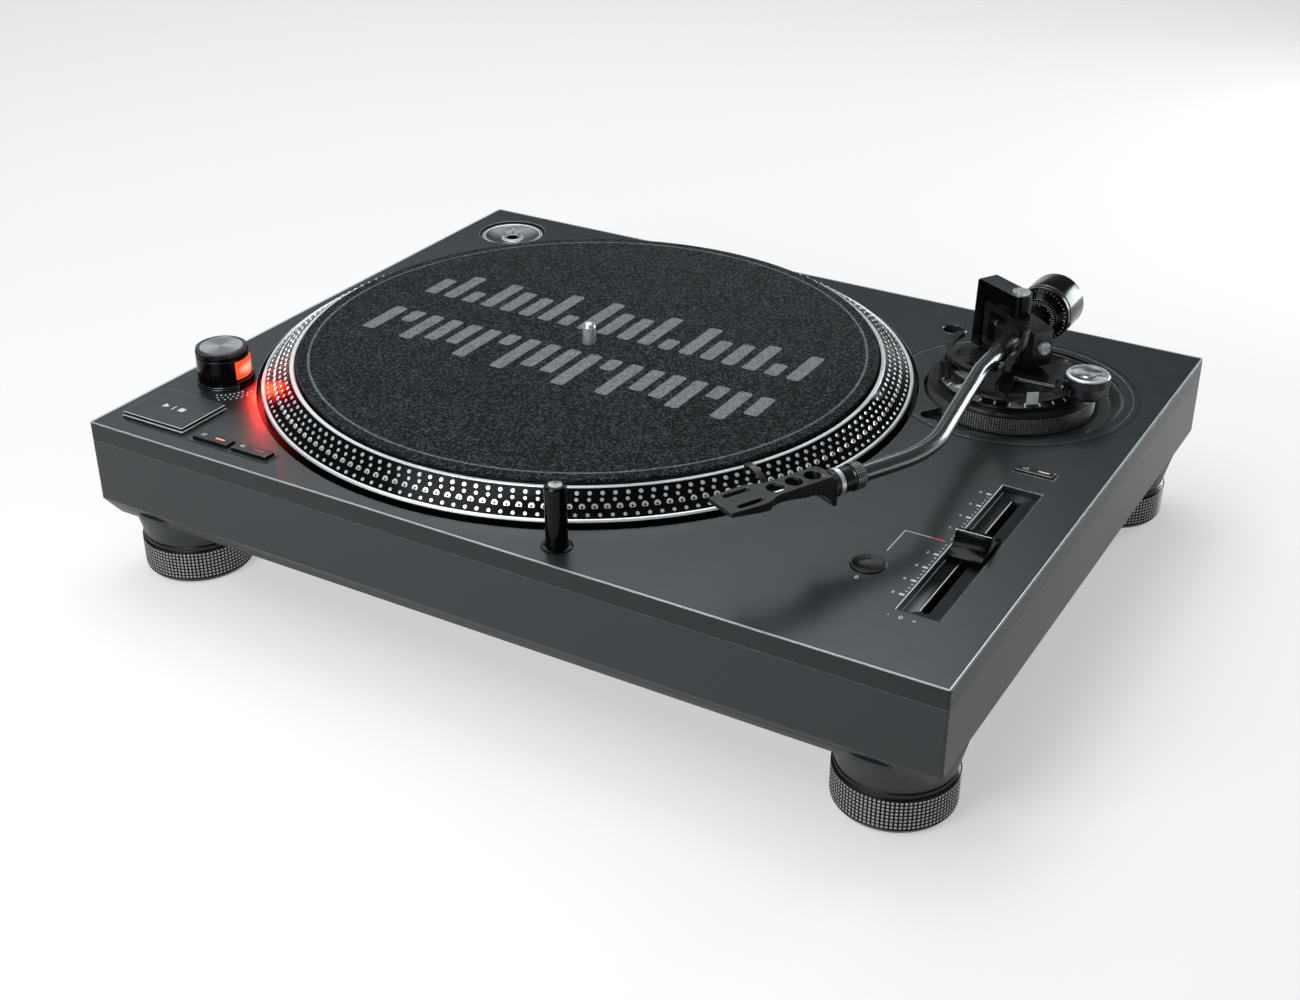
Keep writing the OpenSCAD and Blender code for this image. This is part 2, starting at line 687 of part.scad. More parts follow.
module arm_cup() color([0.1, 0.1, 0.1]) at_pivot() difference() {
    union() {
        rotate_extrude() polygon([[0, cup_floor - 3], [cup_r + 1.5, cup_floor - 3],
            [cup_r + 1.5, -panel_thick], [cup_r - 1.3, -panel_thick], [cup_r - 1.3, cup_floor + 2],
            [cup_r - 2.6, cup_floor + 2], [cup_r - 2.6, cup_floor], [0, cup_floor]]);
        translate([0, 0, stem_foot - 4]) cylinder(r = stem_r + 3, h = cup_floor - stem_foot + 4);
    }
    translate([0, 0, stem_foot - 1]) cylinder(r = stem_r + fit, h = 60);
}

module height_ring() color([0.06, 0.06, 0.06]) at_pivot(cup_floor) difference() {
    tall = ring_top - cup_floor;
    rotate_extrude() polygon([[ring_bore_r, 0], [ring_r - 1.6, 0], [ring_r - 1.6, 0.8],
        [ring_r - 0.6, 1], [ring_r, 1.6], [ring_r, tall - 1.4], [ring_r - 1.4, tall],
        [ring_bore_r, tall]]);
    translate([0, 0, -1]) cylinder(r = column_r + 1, h = 30);
}

module arm_base() color([0.07, 0.07, 0.08]) at_pivot() difference() {
    union() {
        translate([0, 0, stem_foot]) cylinder(r = stem_r, h = -stem_foot);
        translate([0, 0, cup_floor + gap]) cylinder(r = column_r, h = ring_top + gap - cup_floor);
        translate([0, 0, ring_top + gap]) rotate_extrude() polygon([[0, 0], [scale_r, 0],
            [scale_r, scale_top - ring_top - gap - 1.6], [body_r + 0.6, scale_top - ring_top - gap],
            [body_r, body_top - ring_top - gap - 0.6], [body_r - 0.6, body_top - ring_top - gap],
            [0, body_top - ring_top - gap]]);
        translate([0, 0, body_top - eps]) cylinder(r = platform_r, h = platform_top - body_top + eps);
        platform_arm();
        rest_lug();
        lift_guide();
        lever_ear();
    }
    translate([0, 0, platform_top - 7]) cylinder(r = pin_r + 1.2 + fit, h = 20);
    translate([dial_at[0], dial_at[1], dial_foot - 0.3]) cylinder(r = dial_r + 0.6, h = 30);
    lift_place() translate([0, 0, 4]) cylinder(r = 2.2 + fit, h = 30);
    rotate([0, 0, 24]) translate([0, 0, scale_top + 0.2]) rotate_extrude(angle = 94)
        translate([platform_r + 3.5, 0]) square([20, 20]);
    rotate([0, 0, -112]) translate([body_r - 5, 0, 11.6]) rotate([0, 90, 0]) cylinder(r = 1.2 + fit, h = 9);
    lever_place() rotate([-90, 0, 0]) cylinder(r = 1 + fit, h = 5);
}

module lever_place() translate([lever_at[0], lever_at[1], platform_top + 1.6]) children();

module lever_ear() translate([lever_at[0] - 3, lever_at[1] + 0.3, body_top - eps])
    cube([6, 3, platform_top - body_top + 4.4]);

module platform_arm() {
    reach = norm(dial_at);
    translate([0, 0, body_top - eps]) linear_extrude(height = platform_top - body_top + eps)
        polygon([[4, -platform_r + 1], [dial_at[0] - 4, dial_at[1] - 13], [dial_at[0] - 2, dial_at[1] + 13],
            [10, platform_r - 4]]);
    rotate([0, 0, atan2(dial_at[1], dial_at[0])]) translate([0, 0, dial_foot - 2]) linear_extrude(height = 1.7) {
        translate([18, -7]) square([reach - 18, 14]);
        translate([reach, 0]) circle(8.5);
    }
}

module rest_lug() {
    translate([rest_at[0] - 7, rest_at[1] - 4.5, body_top - eps])
        cube([17, -rest_at[1] - 10, platform_top - body_top + eps]);
}

module lift_place() rotate([0, 0, lift_post_angle]) translate([lift_r, 0, 0]) children();

module lift_guide() {
    lift_place() translate([0, 0, 7]) cylinder(r = 4.6, h = platform_top - 7);
    rotate([0, 0, lift_post_angle]) translate([10, -4, body_top - eps])
        cube([lift_r - 10, 8, platform_top - body_top + eps]);
}

module anti_skate_dial() color([0.5, 0.5, 0.51]) at_pivot() translate([dial_at[0], dial_at[1], dial_foot])
    difference() {
        rotate_extrude() polygon([[0, 0], [dial_r - 1, 0], [dial_r - 0.6, 0.6], [dial_r - 0.6, 5],
            [dial_r, 5.4], [dial_r, dial_top - dial_foot - 0.6], [dial_r - 0.6, dial_top - dial_foot],
            [0, dial_top - dial_foot]]);
        translate([0, 0, dial_top - dial_foot - 0.7]) ring(dial_r - 2, 3, 2);
        translate([0, 0, dial_top - dial_foot - 0.8]) slab([2 * dial_r - 5, 1.6], 2);
    }

module arm_lock_knob() color([0.5, 0.5, 0.51]) at_pivot() rotate([0, 0, -112])
    translate([body_r + 1, 0, 11.6]) rotate([0, 90, 0]) {
        cylinder(r = 2.2, h = 5.2);
        translate([0, 0, -5.4]) cylinder(r = 1.2, h = 5.8);
        translate([0, 0, 3.2]) slab([2.4, 7.2], 3.4, 1);
    }

// ---------- arm rest and lift ----------

module clip_place() at_axis() translate([rest_at[0], rest_at[1], 0]) children();

module arm_rest() color([0.06, 0.06, 0.06]) clip_place() difference() {
    low = platform_top - arm_height;
    union() {
        translate([0, 0, low]) profile([[-2, 0], [-2.6, -low - tube_r - 3.4], [-5.4, -low - tube_r - 1.6],
            [-6, -low - tube_r - 0.3], [tube_r + 0.9, -low - tube_r - 0.3], [tube_r + 0.9, -low - 1],
            [tube_r + 3, -low - 1], [tube_r + 3, -low - tube_r - 1], [4.6, -low - tube_r - 6], [4.6, 0]], 7);
        translate([clip_pin[0], 0, clip_pin[1] - 1]) rotate([90, 0, 0]) cylinder(r = 2.2, h = 2.4, center = true);
        translate([tube_r + 0.9, -1.2, -4]) cube([clip_pin[0] - tube_r - 0.9 + 0.6, 2.4, 4]);
    }
    rotate([90, 0, 0]) cylinder(r = tube_r + gap, h = 20, center = true);
    translate([clip_pin[0], 0, clip_pin[1]]) rotate([90, 0, 0]) cylinder(r = 1 + fit, h = 20, center = true);
}

// Drawn closed over the tube, then swung open about its pin.
module arm_rest_clip() color([0.1, 0.1, 0.1]) clip_place()
    translate([clip_pin[0], 0, clip_pin[1]]) rotate([0, clip_open, 0]) {
        rotate([90, 0, 0]) cylinder(r = 1, h = 6.6, center = true);
        for (y = [-1, 1]) translate([0, y * 2.5, 0]) rotate([90, 0, 0]) cylinder(r = 2, h = 1.6, center = true);
        for (y = [-1, 1]) translate([-2.2, y * 2.5, 1.5]) cube([4.4, 1.6, 3], center = true);
        translate([-clip_pin[0], 0, -clip_pin[1]]) difference() {
            profile([[4.5, 2], [5.8, 2], [5.8, 4.6], [4.4, 5.6], [0, 7.4], [-8, 7.6], [-8.6, 6.2],
                [-2, 5.2], [2.2, 4.9], [4.5, 3.4]], 6.6);
            rotate([90, 0, 0]) cylinder(r = tube_r + 0.35, h = 20, center = true);
        }
    }

module lift_bar() color([0.08, 0.08, 0.08]) at_pivot() {
    rotate([0, 0, lift_from]) rotate_extrude(angle = lift_sweep)
        translate([lift_r - 1.9, lift_top - 2.4]) square([3.8, 2.4]);
    lift_place() translate([0, 0, 6.2]) cylinder(r = 2.2, h = lift_top - 7.2);
}

// A rod that lies in front of the platform, with its pin in the ear and its tip towards the arm rest.
module cue_lever() color([0.07, 0.07, 0.07]) at_pivot() lever_place() {
    rotate([90, 0, 0]) cylinder(r = 2.4, h = 4.4);
    translate([0, 2.8, 0]) rotate([90, 0, 0]) cylinder(r = 1, h = 3);
    rod([-0.6, -2.4, 0.1], lever_tip, 1.1);
    translate(lever_tip) sphere(r = 1.7);
}

// ---------- bearings ----------

// A post and a beam that reach over the gimbal and carry its upper pivot screw.
module arm_bracket() color([0.06, 0.06, 0.06]) at_bearings() difference() {
    union() {
        profile([[-bracket_out, platform_top], [-bracket_out + bracket_lean, beam_top - 1],
            [-bracket_out + bracket_lean + 1, beam_top], [0, beam_top], [0, beam_under],
            [-bracket_in + 2, beam_under], [-bracket_in, beam_under - 2],
            [-bracket_in, platform_top + 3], [-bracket_in + 0.7, platform_top + 0.7],
            [-10, platform_top + 0.7], [-10, platform_top]],
            2 * bracket_half);
        translate([0, 0, beam_under - 3]) cylinder(r = bracket_half, h = beam_top - beam_under + 3);
    }
    translate([0, 0, beam_under - 5]) cylinder(r = 2.4 + fit, h = 20);
}

module slotted_head(r, thick) {
    difference() {
        cylinder(r = r, h = thick);
        translate([0, 0, thick]) cube([2 * r + 1, 0.8, 1.1], center = true);
    }
}

module pivot_screws() color([0.75, 0.75, 0.76]) at_bearings() {
    translate([0, 0, beam_top]) slotted_head(4.4, 1.4);
    translate([0, 0, beam_under - 5.6]) cylinder(r = 2.4, h = beam_top - beam_under + 5.6);
}

function gimbal_top() = arm_height + 12.3;

// A frame that turns on the upright pivots. Its top edge falls away to the right-hand bearing.
module gimbal_ring() color([0.06, 0.06, 0.06]) at_bearings() difference() {
    z = arm_height;
    union() {
        profile([[-ring_half, z - 10], [-ring_half, z + 12], [-ring_half + 2, gimbal_top()],
            [-5, gimbal_top() - 1.3], [5, gimbal_top() - 1.7], [12, z + 10], [ring_half, z + 8.4],
            [ring_half, z - 10], [14, z - 13], [-14, z - 13]], 2 * ring_deep);
        translate([0, 0, platform_top + gap]) cylinder(r = 6, h = 3);
        translate([0, 0, platform_top - 6.6]) cylinder(r = pin_r + 1.2, h = 9);
    }
    profile([[-15.6, z - 7.6], [-15.6, z + 7.8], [-14, z + 8.8], [8, z + 8], [12.4, z + 6.4],
        [12.4, z - 6], [11, z - 7.6]], 4 * ring_deep);
    translate([0, 0, beam_under - 5.8]) cylinder(r = 2.4 + gap, h = 20);
    for (s = [-1, 1]) translate([s * 16, 0, z]) rotate([0, 90, 0])
        cylinder(r = pin_r + fit, h = 12, center = true);
}

// The block inside the gimbal, with the tube's sleeve in front and the weight's shaft behind.
module arm_hub() color([0.08, 0.08, 0.08]) at_axis() difference() {
    union() {
        rotate([0, 0, bearing_turn]) translate([0, 0, -5]) slab([18, 14], 10, 1);
        rotate([90, 0, 0]) cylinder(r = tube_r + 0.9, h = sleeve_end);
        on_shaft() cylinder(r = shaft_r, h = shaft_end);
    }
    for (s = [-1, 1]) rotate([0, 0, bearing_turn]) translate([s * 9, 0, 0]) rotate([0, 90, 0])
        cylinder(r = pin_r + fit, h = 8, center = true);
}

// The level pivots: a slotted screw on the right and a plain pin on the left.
module gimbal_pins() color([0.75, 0.75, 0.76]) at_bearings() {
    inner = 5.6;
    for (s = [0, 1]) translate([0, 0, arm_height]) mirror([s, 0, 0]) translate([inner, 0, 0])
        rotate([0, 90, 0]) cylinder(r = pin_r, h = ring_half + (s == 0 ? 0.1 : 0) - inner);
    translate([ring_half + 0.1, 0, arm_height]) rotate([0, 90, 0]) rotate([0, 0, 90]) slotted_head(screw_r, 2.3);
}

module tonearm_tube() color([0.09, 0.09, 0.1]) at_axis()
    bent_tube([[0, -sleeve_end - 0.1], tube_route[1], tube_route[2], shell_end(13.6)], bend_r, tube_r);

function shell_line() = (tube_route[3] - tube_route[2]) / norm(tube_route[3] - tube_route[2]);
function shell_end(back_by) = tube_route[3] - back_by * shell_line();

module locking_collar() color([0.1, 0.1, 0.1]) at_shell() rotate([0, 90, 0]) rotate_extrude() polygon([
    [tube_r + fit, -16.4], [collar_r - 0.6, -16.4], [collar_r, -15.8], [collar_r, -10.4],
    [collar_r - 0.4, -10], [collar_r - 0.4, -3.1], [tube_r + fit, -3.1]]);

// ---------- headshell ----------

// The tip is broad, the neck narrow and the root as wide as its round flange.
module shell_outline(inset = 0) {
    w = -inset;
    tip = shell_length - inset;
    polygon([[inset - eps, -5.8 - w], [30, -5.8 - w], [34, -6.9 - w], [38, -8.8 - w], [41, -9 - w],
        [tip, -8 - w], [tip, 8 + w], [41, 9 + w], [38, 8.8 + w], [34, 6.9 + w], [30, 5.8 + w],
        [inset - eps, 5.8 + w]]);
}

// The side view: a deep root with a hollow curve behind the fingers, and a thin tip.
module shell_side() {
    difference() {
        polygon([[0, 5.4], [3.5, shell_top], [shell_length, shell_top], [shell_length, 5.1],
            [36.6, 2.9], [36.6, 3.6], [26, 2.8], [12, 0.6], [12, -4], [3.4, -7.5], [0, -7.5]]);
        translate([14.6, -12.4]) circle(r = 13.6);
    }
}

module headshell() color([0.09, 0.09, 0.1]) at_shell() difference() {
    union() {
        difference() {
            intersection() {
                translate([0, 0, -20]) linear_extrude(height = 40) shell_outline();
                rotate([90, 0, 0]) linear_extrude(height = 40, center = true) shell_side();
            }
            translate([0, 0, -20]) linear_extrude(height = 20 + shell_top - shell_wall)
                intersection() {
                    shell_outline(shell_wall);
                    translate([13, -20]) square([60, 40]);
                }
        }
        translate([-2.8, 0, 0]) rotate([0, 90, 0]) rotate_extrude() polygon([[0, 0], [collar_r, 0],
            [collar_r, 1], [collar_r - 0.5, 1.2], [collar_r - 0.5, 1.6], [collar_r, 1.8],
            [collar_r, 2.8], [0, 2.8]]);
        translate([-13, 0, 0]) rotate([0, 90, 0]) cylinder(r = tube_r, h = 11);
    }
    for (i = [0:2]) translate([9.4 + i * 9.8, 0, 2.4]) cylinder(r = 3.9, h = 12);
    for (s = [-1, 1]) translate([45.2, s * 5.2, -6]) slab([13.6, 2.9], 20, 1.44);
}

lift_bend = 18;

// A springy strip that rises out of the shell's right side, with a turned-down end.
module finger_lift() color([0.1, 0.1, 0.1]) at_shell() difference() {
    side = 5.8;
    translate([29, side + 11.7, shell_top - 15]) rotate([90, 0, 90]) {
        rotate([0, 0, 82]) rotate_extrude(angle = 56) translate([lift_bend - 1, -1.5]) square([1, 3]);
        translate([lift_bend * cos(82) - 0.8, lift_bend * sin(82) - 3.6, -1.7]) cube([0.8, 3.3, 3.4]);
    }
    translate([20, side + 0.02 - 20, -20]) cube([20, 20, 40]);
}

// ---------- counterweight ----------

module pressure_dial() color([0.06, 0.06, 0.06]) at_axis() on_shaft()
    translate([0, 0, dial_from]) rotate_extrude() polygon([[shaft_r + fit, 0], [weight_r - 5, 0],
        [weight_r - 1, weight_from - dial_from - 3], [weight_r - 0.3, weight_from - dial_from - 2.6],
        [weight_r - 0.3, weight_from - dial_from - 0.3], [shaft_r + fit, weight_from - dial_from - 0.3]]);

module counterweight() color([0.12, 0.12, 0.13]) at_axis() on_shaft()
    rotate_extrude() polygon([[shaft_r + fit, weight_from], [weight_r - 0.5, weight_from],
        [weight_r, weight_from + 0.5], [weight_r, weight_to - 1.2], [weight_r - 1.2, weight_to],
        [shaft_r + 5, weight_to], [shaft_r + 4, weight_to - 1.5], [shaft_r + fit, weight_to - 1.5]]);

// ---------- feet ----------

// A screw-in foot: a knurled metal drum with a soft sole and a stud.
module foot(s) color([0.08, 0.08, 0.08])
    translate([s[0] * (right - foot_at[0]), s[1] * (back - foot_at[1]), 0]) {
        top = deck_top + pod_foot - gap;
        rotate_extrude() polygon([[0, 0], [foot_r - 5, 0], [foot_r - 4.4, 0.8], [foot_r - 1.2, 0.8],
            [foot_r, 2.6], [foot_r, top - 2.2], [foot_r - 0.8, top - 1.6], [foot_r - 0.8, top - 0.6],
            [foot_r - 1.6, top], [0, top]]);
        translate([0, 0, top - 1]) cylinder(r = stud_r, h = 22);
    }

module foot_front_left() foot(feet[0]);
module foot_front_right() foot(feet[1]);
module foot_back_left() foot(feet[2]);
module foot_back_right() foot(feet[3]);

top_plate();
base_cabinet();
bottom_cover();
platter_well();
bearing_housing();
motor_coils();
power_supply_board();
control_board();
switch_board();
platter();
rotor_magnet();
spindle();
slipmat();
start_stop_button();
button_bezels();
speed_33_button();
speed_45_button();
strobe_housing();
strobe_window();
power_knob();
light_collar();
light_post();
adapter_cup();
adapter_45();
headshell_holder();
pitch_channel();
pitch_fader();
pitch_board();
pitch_knob();
reset_button();
double_button();
arm_panel();
arm_cup();
height_ring();
arm_base();
anti_skate_dial();
arm_lock_knob();
arm_rest();
arm_rest_clip();
lift_bar();
cue_lever();
arm_bracket();
pivot_screws();
gimbal_ring();
gimbal_pins();
arm_hub();
tonearm_tube();
locking_collar();
headshell();
finger_lift();
pressure_dial();
counterweight();
phono_jacks();
ground_terminal();
mains_inlet();
hinge_sockets();
foot_front_left();
foot_front_right();
foot_back_left();
foot_back_right();
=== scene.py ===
"""The looks of a direct-drive turntable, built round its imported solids. Lengths are in metres."""

import json
import math

import bmesh
import bpy
from bpy.props import FloatProperty, FloatVectorProperty, IntVectorProperty, PointerProperty
from mathutils import Matrix, Vector


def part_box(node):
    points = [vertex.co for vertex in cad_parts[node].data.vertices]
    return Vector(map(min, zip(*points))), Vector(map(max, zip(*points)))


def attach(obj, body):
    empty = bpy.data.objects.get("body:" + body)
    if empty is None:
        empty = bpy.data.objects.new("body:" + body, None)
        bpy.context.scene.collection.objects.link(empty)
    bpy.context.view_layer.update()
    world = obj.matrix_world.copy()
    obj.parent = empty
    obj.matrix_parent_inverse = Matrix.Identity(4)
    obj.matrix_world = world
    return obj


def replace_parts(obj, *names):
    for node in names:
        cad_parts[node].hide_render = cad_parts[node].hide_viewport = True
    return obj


bl_info = {
    "name": "Turntable Looks",
    "version": (1, 0, 0),
    "blender": (4, 5, 0),
    "location": "3D View > Sidebar > Turntable",
    "description": "Builds the finishes and fine pieces of a direct-drive turntable",
    "category": "Object",
}

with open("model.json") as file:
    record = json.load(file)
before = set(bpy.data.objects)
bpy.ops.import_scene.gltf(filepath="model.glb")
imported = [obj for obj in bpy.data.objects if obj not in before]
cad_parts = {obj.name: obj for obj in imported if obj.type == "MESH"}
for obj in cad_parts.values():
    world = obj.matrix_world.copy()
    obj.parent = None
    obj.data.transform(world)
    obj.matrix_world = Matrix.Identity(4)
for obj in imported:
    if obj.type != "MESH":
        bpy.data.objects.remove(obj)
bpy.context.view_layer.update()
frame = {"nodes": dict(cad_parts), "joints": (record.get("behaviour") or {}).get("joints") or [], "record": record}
RECORD = frame["record"]
BODY_OF = {node: body for body, nodes in RECORD["behaviour"]["bodies"].items() for node in nodes}
JOINTS = {joint["name"]: joint for joint in frame["joints"]}

MM = 0.001
FULL_TURN = 2 * math.pi
SAME_SPOT = 1e-7
PRINT_THICK = 0.05
NOISE_SPAN = (0.3, 0.7)
BACKGROUND = 0.9


# ---------- places, worked out from the frame ----------


def middle(node):
    low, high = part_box(node)
    return (low + high) / 2


def top(node):
    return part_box(node)[1].z


def reach(node):
    """Half of a round node's width."""
    low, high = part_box(node)
    return (high.x - low.x) / 2


DECK_LOW, DECK_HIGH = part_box("top_plate")
DECK_TOP = DECK_HIGH.z
PLATTER = Vector((middle("platter").x, middle("platter").y, DECK_TOP))
PIVOT = Vector(JOINTS["arm_yaw"]["pos_m"])


def heights(node):
    """Where a node's foot and its top are over the deck, in millimetres."""
    low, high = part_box(node)
    return (low.z - DECK_TOP) / MM, (high.z - DECK_TOP) / MM


def shift(x, y, z=0.0):
    """A move by millimetres."""
    return Matrix.Translation((x * MM, y * MM, z * MM))


def turn(angle, axis="Z"):
    """A turn by degrees."""
    return Matrix.Rotation(math.radians(angle), 4, axis)


def about(centre, angle=0.0, z=0.0):
    """Puts a shape made round the Z axis at a place on the deck, turned by an angle in degrees."""
    return Matrix.Translation((centre.x, centre.y, z)) @ turn(angle)


def along(place, direction):
    """Turns the Z axis to a direction at a place, with the X axis kept as level as it can be."""
    z = Vector(direction).normalized()
    side = Vector((0, 0, 1)).cross(z)
    x = side.normalized() if side.length > 1e-6 else Vector((1, 0, 0))
    return Matrix.Translation(place) @ Matrix((x, z.cross(x), z)).transposed().to_4x4()


# ---------- making meshes ----------


def verts_in(geom):
    return [g for g in geom if isinstance(g, bmesh.types.BMVert)]


def edges_in(geom):
    return [g for g in geom if isinstance(g, bmesh.types.BMEdge)]


def edges_of(verts):
    """The edges that meet at some verts."""
    return list({edge for vert in verts for edge in vert.link_edges})


def add_piece(name, bm, body, finishes, smooth=35.0, matrix=None):
    """Closes a bmesh into a piece that rides on a body. Edges sharper than the angle stay sharp."""
    if matrix is not None:
        bmesh.ops.transform(bm, matrix=matrix, verts=bm.verts[:])
    bmesh.ops.remove_doubles(bm, verts=bm.verts[:], dist=SAME_SPOT)
    bmesh.ops.recalc_face_normals(bm, faces=bm.faces[:])
    mesh = bpy.data.meshes.new(name)
    bm.to_mesh(mesh)
    bm.free()
    for face in mesh.polygons:
        face.use_smooth = True
    mesh.set_sharp_from_angle(angle=math.radians(smooth))
    for finish in finishes if isinstance(finishes, list) else [finishes]:
        mesh.materials.append(finish)
    piece = bpy.data.objects.new(name, mesh)
    bpy.context.scene.collection.objects.link(piece)
    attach(piece, body)
    return piece


def soften(node, finish, width=0.25, angle=30.0, segments=2, second=None, edge=None):
    """A copy of a solid with its sharp edges rounded, shown in its place. The width is in millimetres.

    Faces that pass the second test take the second finish. The rounded edges may take one of their own."""
    bm = bmesh.new()
    bm.from_mesh(frame["nodes"][node].data)
    bmesh.ops.remove_doubles(bm, verts=bm.verts[:], dist=2e-6)
    if width:
        bmesh.ops.dissolve_limit(bm, angle_limit=math.radians(0.3), verts=bm.verts[:], edges=bm.edges[:])
    if second:
        for face in bm.faces:
            face.material_index = 1 if second(face) else 0
    finishes = list(finish) if isinstance(finish, list) else [finish]
    if edge:
        finishes.append(edge)
    piece = add_piece(node + "_finished", bm, BODY_OF[node], finishes, angle)
    if width:
        bevel = piece.modifiers.new("soft edges", "BEVEL")
        bevel.width = width * MM
        bevel.segments = segments
        bevel.limit_method = "ANGLE"
        bevel.angle_limit = math.radians(angle)
        bevel.harden_normals = True
        if edge:
            bevel.material = len(finishes) - 1
    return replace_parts(piece, node)


def paint(node, finish):
    """Gives a solid its finish as it is."""
    mesh = frame["nodes"][node].data
    mesh.materials.clear()
    mesh.materials.append(finish)


def lathe(bm, points, steps=96):
    """Spins a profile of radii and heights, in millimetres, about the Z axis."""
    verts = [bm.verts.new((r * MM, 0, z * MM)) for r, z in points]
    edges = [bm.edges.new(pair) for pair in zip(verts, verts[1:])]
    bmesh.ops.spin(bm, geom=verts + edges, cent=(0, 0, 0), axis=(0, 0, 1), angle=FULL_TURN, steps=steps,
                   use_merge=True, use_duplicate=False)
    bmesh.ops.remove_doubles(bm, verts=bm.verts[:], dist=SAME_SPOT)


def turned(name, points, matrix, body, finishes, steps=96, smooth=35.0):
    """A piece turned from one profile."""
    bm = bmesh.new()
    lathe(bm, points, steps)
    return add_piece(name, bm, body, finishes, smooth, matrix)


def knurl(bm, radius, low, high, pitch, depth):
    """A band of small squares round the Z axis, closed towards its middle. Sizes are in millimetres.

    The squares' faces take the second finish and the grooves between them the first."""
    around = 3 * round(FULL_TURN * radius / pitch)
    rows = 3 * max(1, round((high - low) / pitch)) + 1
    rise = (high - low) / rows
    widen = (0.0, -0.35, 0.35)
    inner = radius - depth - 0.6
    start = bmesh.ops.create_circle(bm, segments=around, radius=inner * MM)["verts"]
    bmesh.ops.translate(bm, verts=start, vec=(0, 0, low * MM))
    made = list(start)
    edges = edges_of(start)
    levels = [(radius, low + rise * row) for row in range(rows + 1)] + [(inner, high)]
    for row, (r, z) in enumerate(levels):
        geom = bmesh.ops.extrude_edge_only(bm, edges=edges)["geom"]
        edges = edges_in(geom)
        lift = widen[row % 3] * rise if row < rows else 0
        for vert in verts_in(geom):
            step = round(math.atan2(vert.co.y, vert.co.x) / FULL_TURN * around)
            groove = depth if row <= rows and (row % 3 == 0 or step % 3 == 0) else 0
            angle = (step + widen[step % 3]) * FULL_TURN / around
            vert.co = Vector((math.cos(angle) * (r - groove), math.sin(angle) * (r - groove), z + lift)) * MM
            made.append(vert)
    for face in {face for vert in made for face in vert.link_faces}:
        if all(abs(vert.co.xy.length - radius * MM) < 0.01 * MM for vert in face.verts):
            face.material_index = 1


def knurled(name, points, steps, band, matrix, body, smooth):
    """A turned piece with a knurled band, where the band is what knurl takes."""
    bm = bmesh.new()
    lathe(bm, points, steps)
    knurl(bm, *band)
    # The knurl's squares take the paler finish, a painted highlight.
    return add_piece(name, bm, body, [knurled_black(), cut_squares()], smooth, matrix)


def ridges(bm, radius, low, high, count, depth):
    """A band of straight ridges round the Z axis, closed towards its middle. Sizes are in millimetres."""
    inner = radius - depth - 0.6
    start = bmesh.ops.create_circle(bm, segments=2 * count, radius=inner * MM)["verts"]
    bmesh.ops.translate(bm, verts=start, vec=(0, 0, low * MM))
    edges = edges_of(start)
    for r, z in [(radius, low), (radius, high), (inner, high)]:
        geom = bmesh.ops.extrude_edge_only(bm, edges=edges)["geom"]
        edges = edges_in(geom)
        for vert in verts_in(geom):
            step = round(math.atan2(vert.co.y, vert.co.x) / FULL_TURN * 2 * count)
            groove = depth if step % 2 and r == radius else 0
            ring = vert.co.xy.normalized() * (r - groove) * MM
            vert.co = (ring.x, ring.y, z * MM)


def bent_tube(bm, radius, points, bend):
    """A round tube along level lines, bent to one radius where they meet. The bend is in metres."""
    ahead = [(b - a).normalized() for a, b in zip(points, points[1:])]
    ring = bmesh.ops.create_circle(bm, segments=40, radius=radius * MM)["verts"]
    edges = edges_of(ring)
    bmesh.ops.transform(bm, matrix=along(points[0], ahead[0]), verts=ring)
    bmesh.ops.edgeloop_fill(bm, edges=edges)
    end = points[0]
    for i, way in enumerate(ahead):
        last = i == len(ahead) - 1
        angle = 0 if last else way.xy.angle_signed(ahead[i + 1].xy)
        stop = points[i + 1] - way * bend * math.tan(abs(angle) / 2)
        geom = bmesh.ops.extrude_edge_only(bm, edges=edges)["geom"]
        bmesh.ops.translate(bm, verts=verts_in(geom), vec=stop - end)
        edges = edges_in(geom)
        end = stop
        if not last:
            axis = Vector((0, 0, -math.copysign(1, angle)))
            centre = stop + axis.cross(way) * bend
            geom = bmesh.ops.spin(bm, geom=verts_in(geom) + edges, cent=centre, axis=axis, angle=abs(angle),
                                  steps=24, use_duplicate=False)["geom_last"]
            edges = edges_in(geom)
            end = points[i + 1] + ahead[i + 1] * bend * math.tan(abs(angle) / 2)
    bmesh.ops.edgeloop_fill(bm, edges=edges)


def round_edges(bm, edges, width, segments=2):
    """Rounds some edges, where the width is in millimetres."""
    bmesh.ops.bevel(bm, geom=edges, offset=width * MM, segments=segments, profile=0.5, affect="EDGES",
                    material=-1)


def bar(bm, size, matrix):
    """A thin printed bar. The size is in millimetres."""
    made = bmesh.ops.create_cube(bm, size=1.0)["verts"]
    bmesh.ops.scale(bm, verts=made, vec=Vector(size) * MM)
    bmesh.ops.transform(bm, matrix=matrix, verts=made)


def print_bar(bm, x, y, z, width, height, angle=0.0):
    """A bar printed on a level face. The place is in metres and the size in millimetres."""
    place = Matrix.Translation((x, y, z + PRINT_THICK * MM / 2))
    bar(bm, (width, height, PRINT_THICK), place @ turn(angle))


def add_bars(name, bars, body, finish):
    """Printed bars as one piece, where each bar is what print_bar takes."""
    bm = bmesh.new()
    for values in bars:
        print_bar(bm, *values)
    return add_piece(name, bm, body, finish)


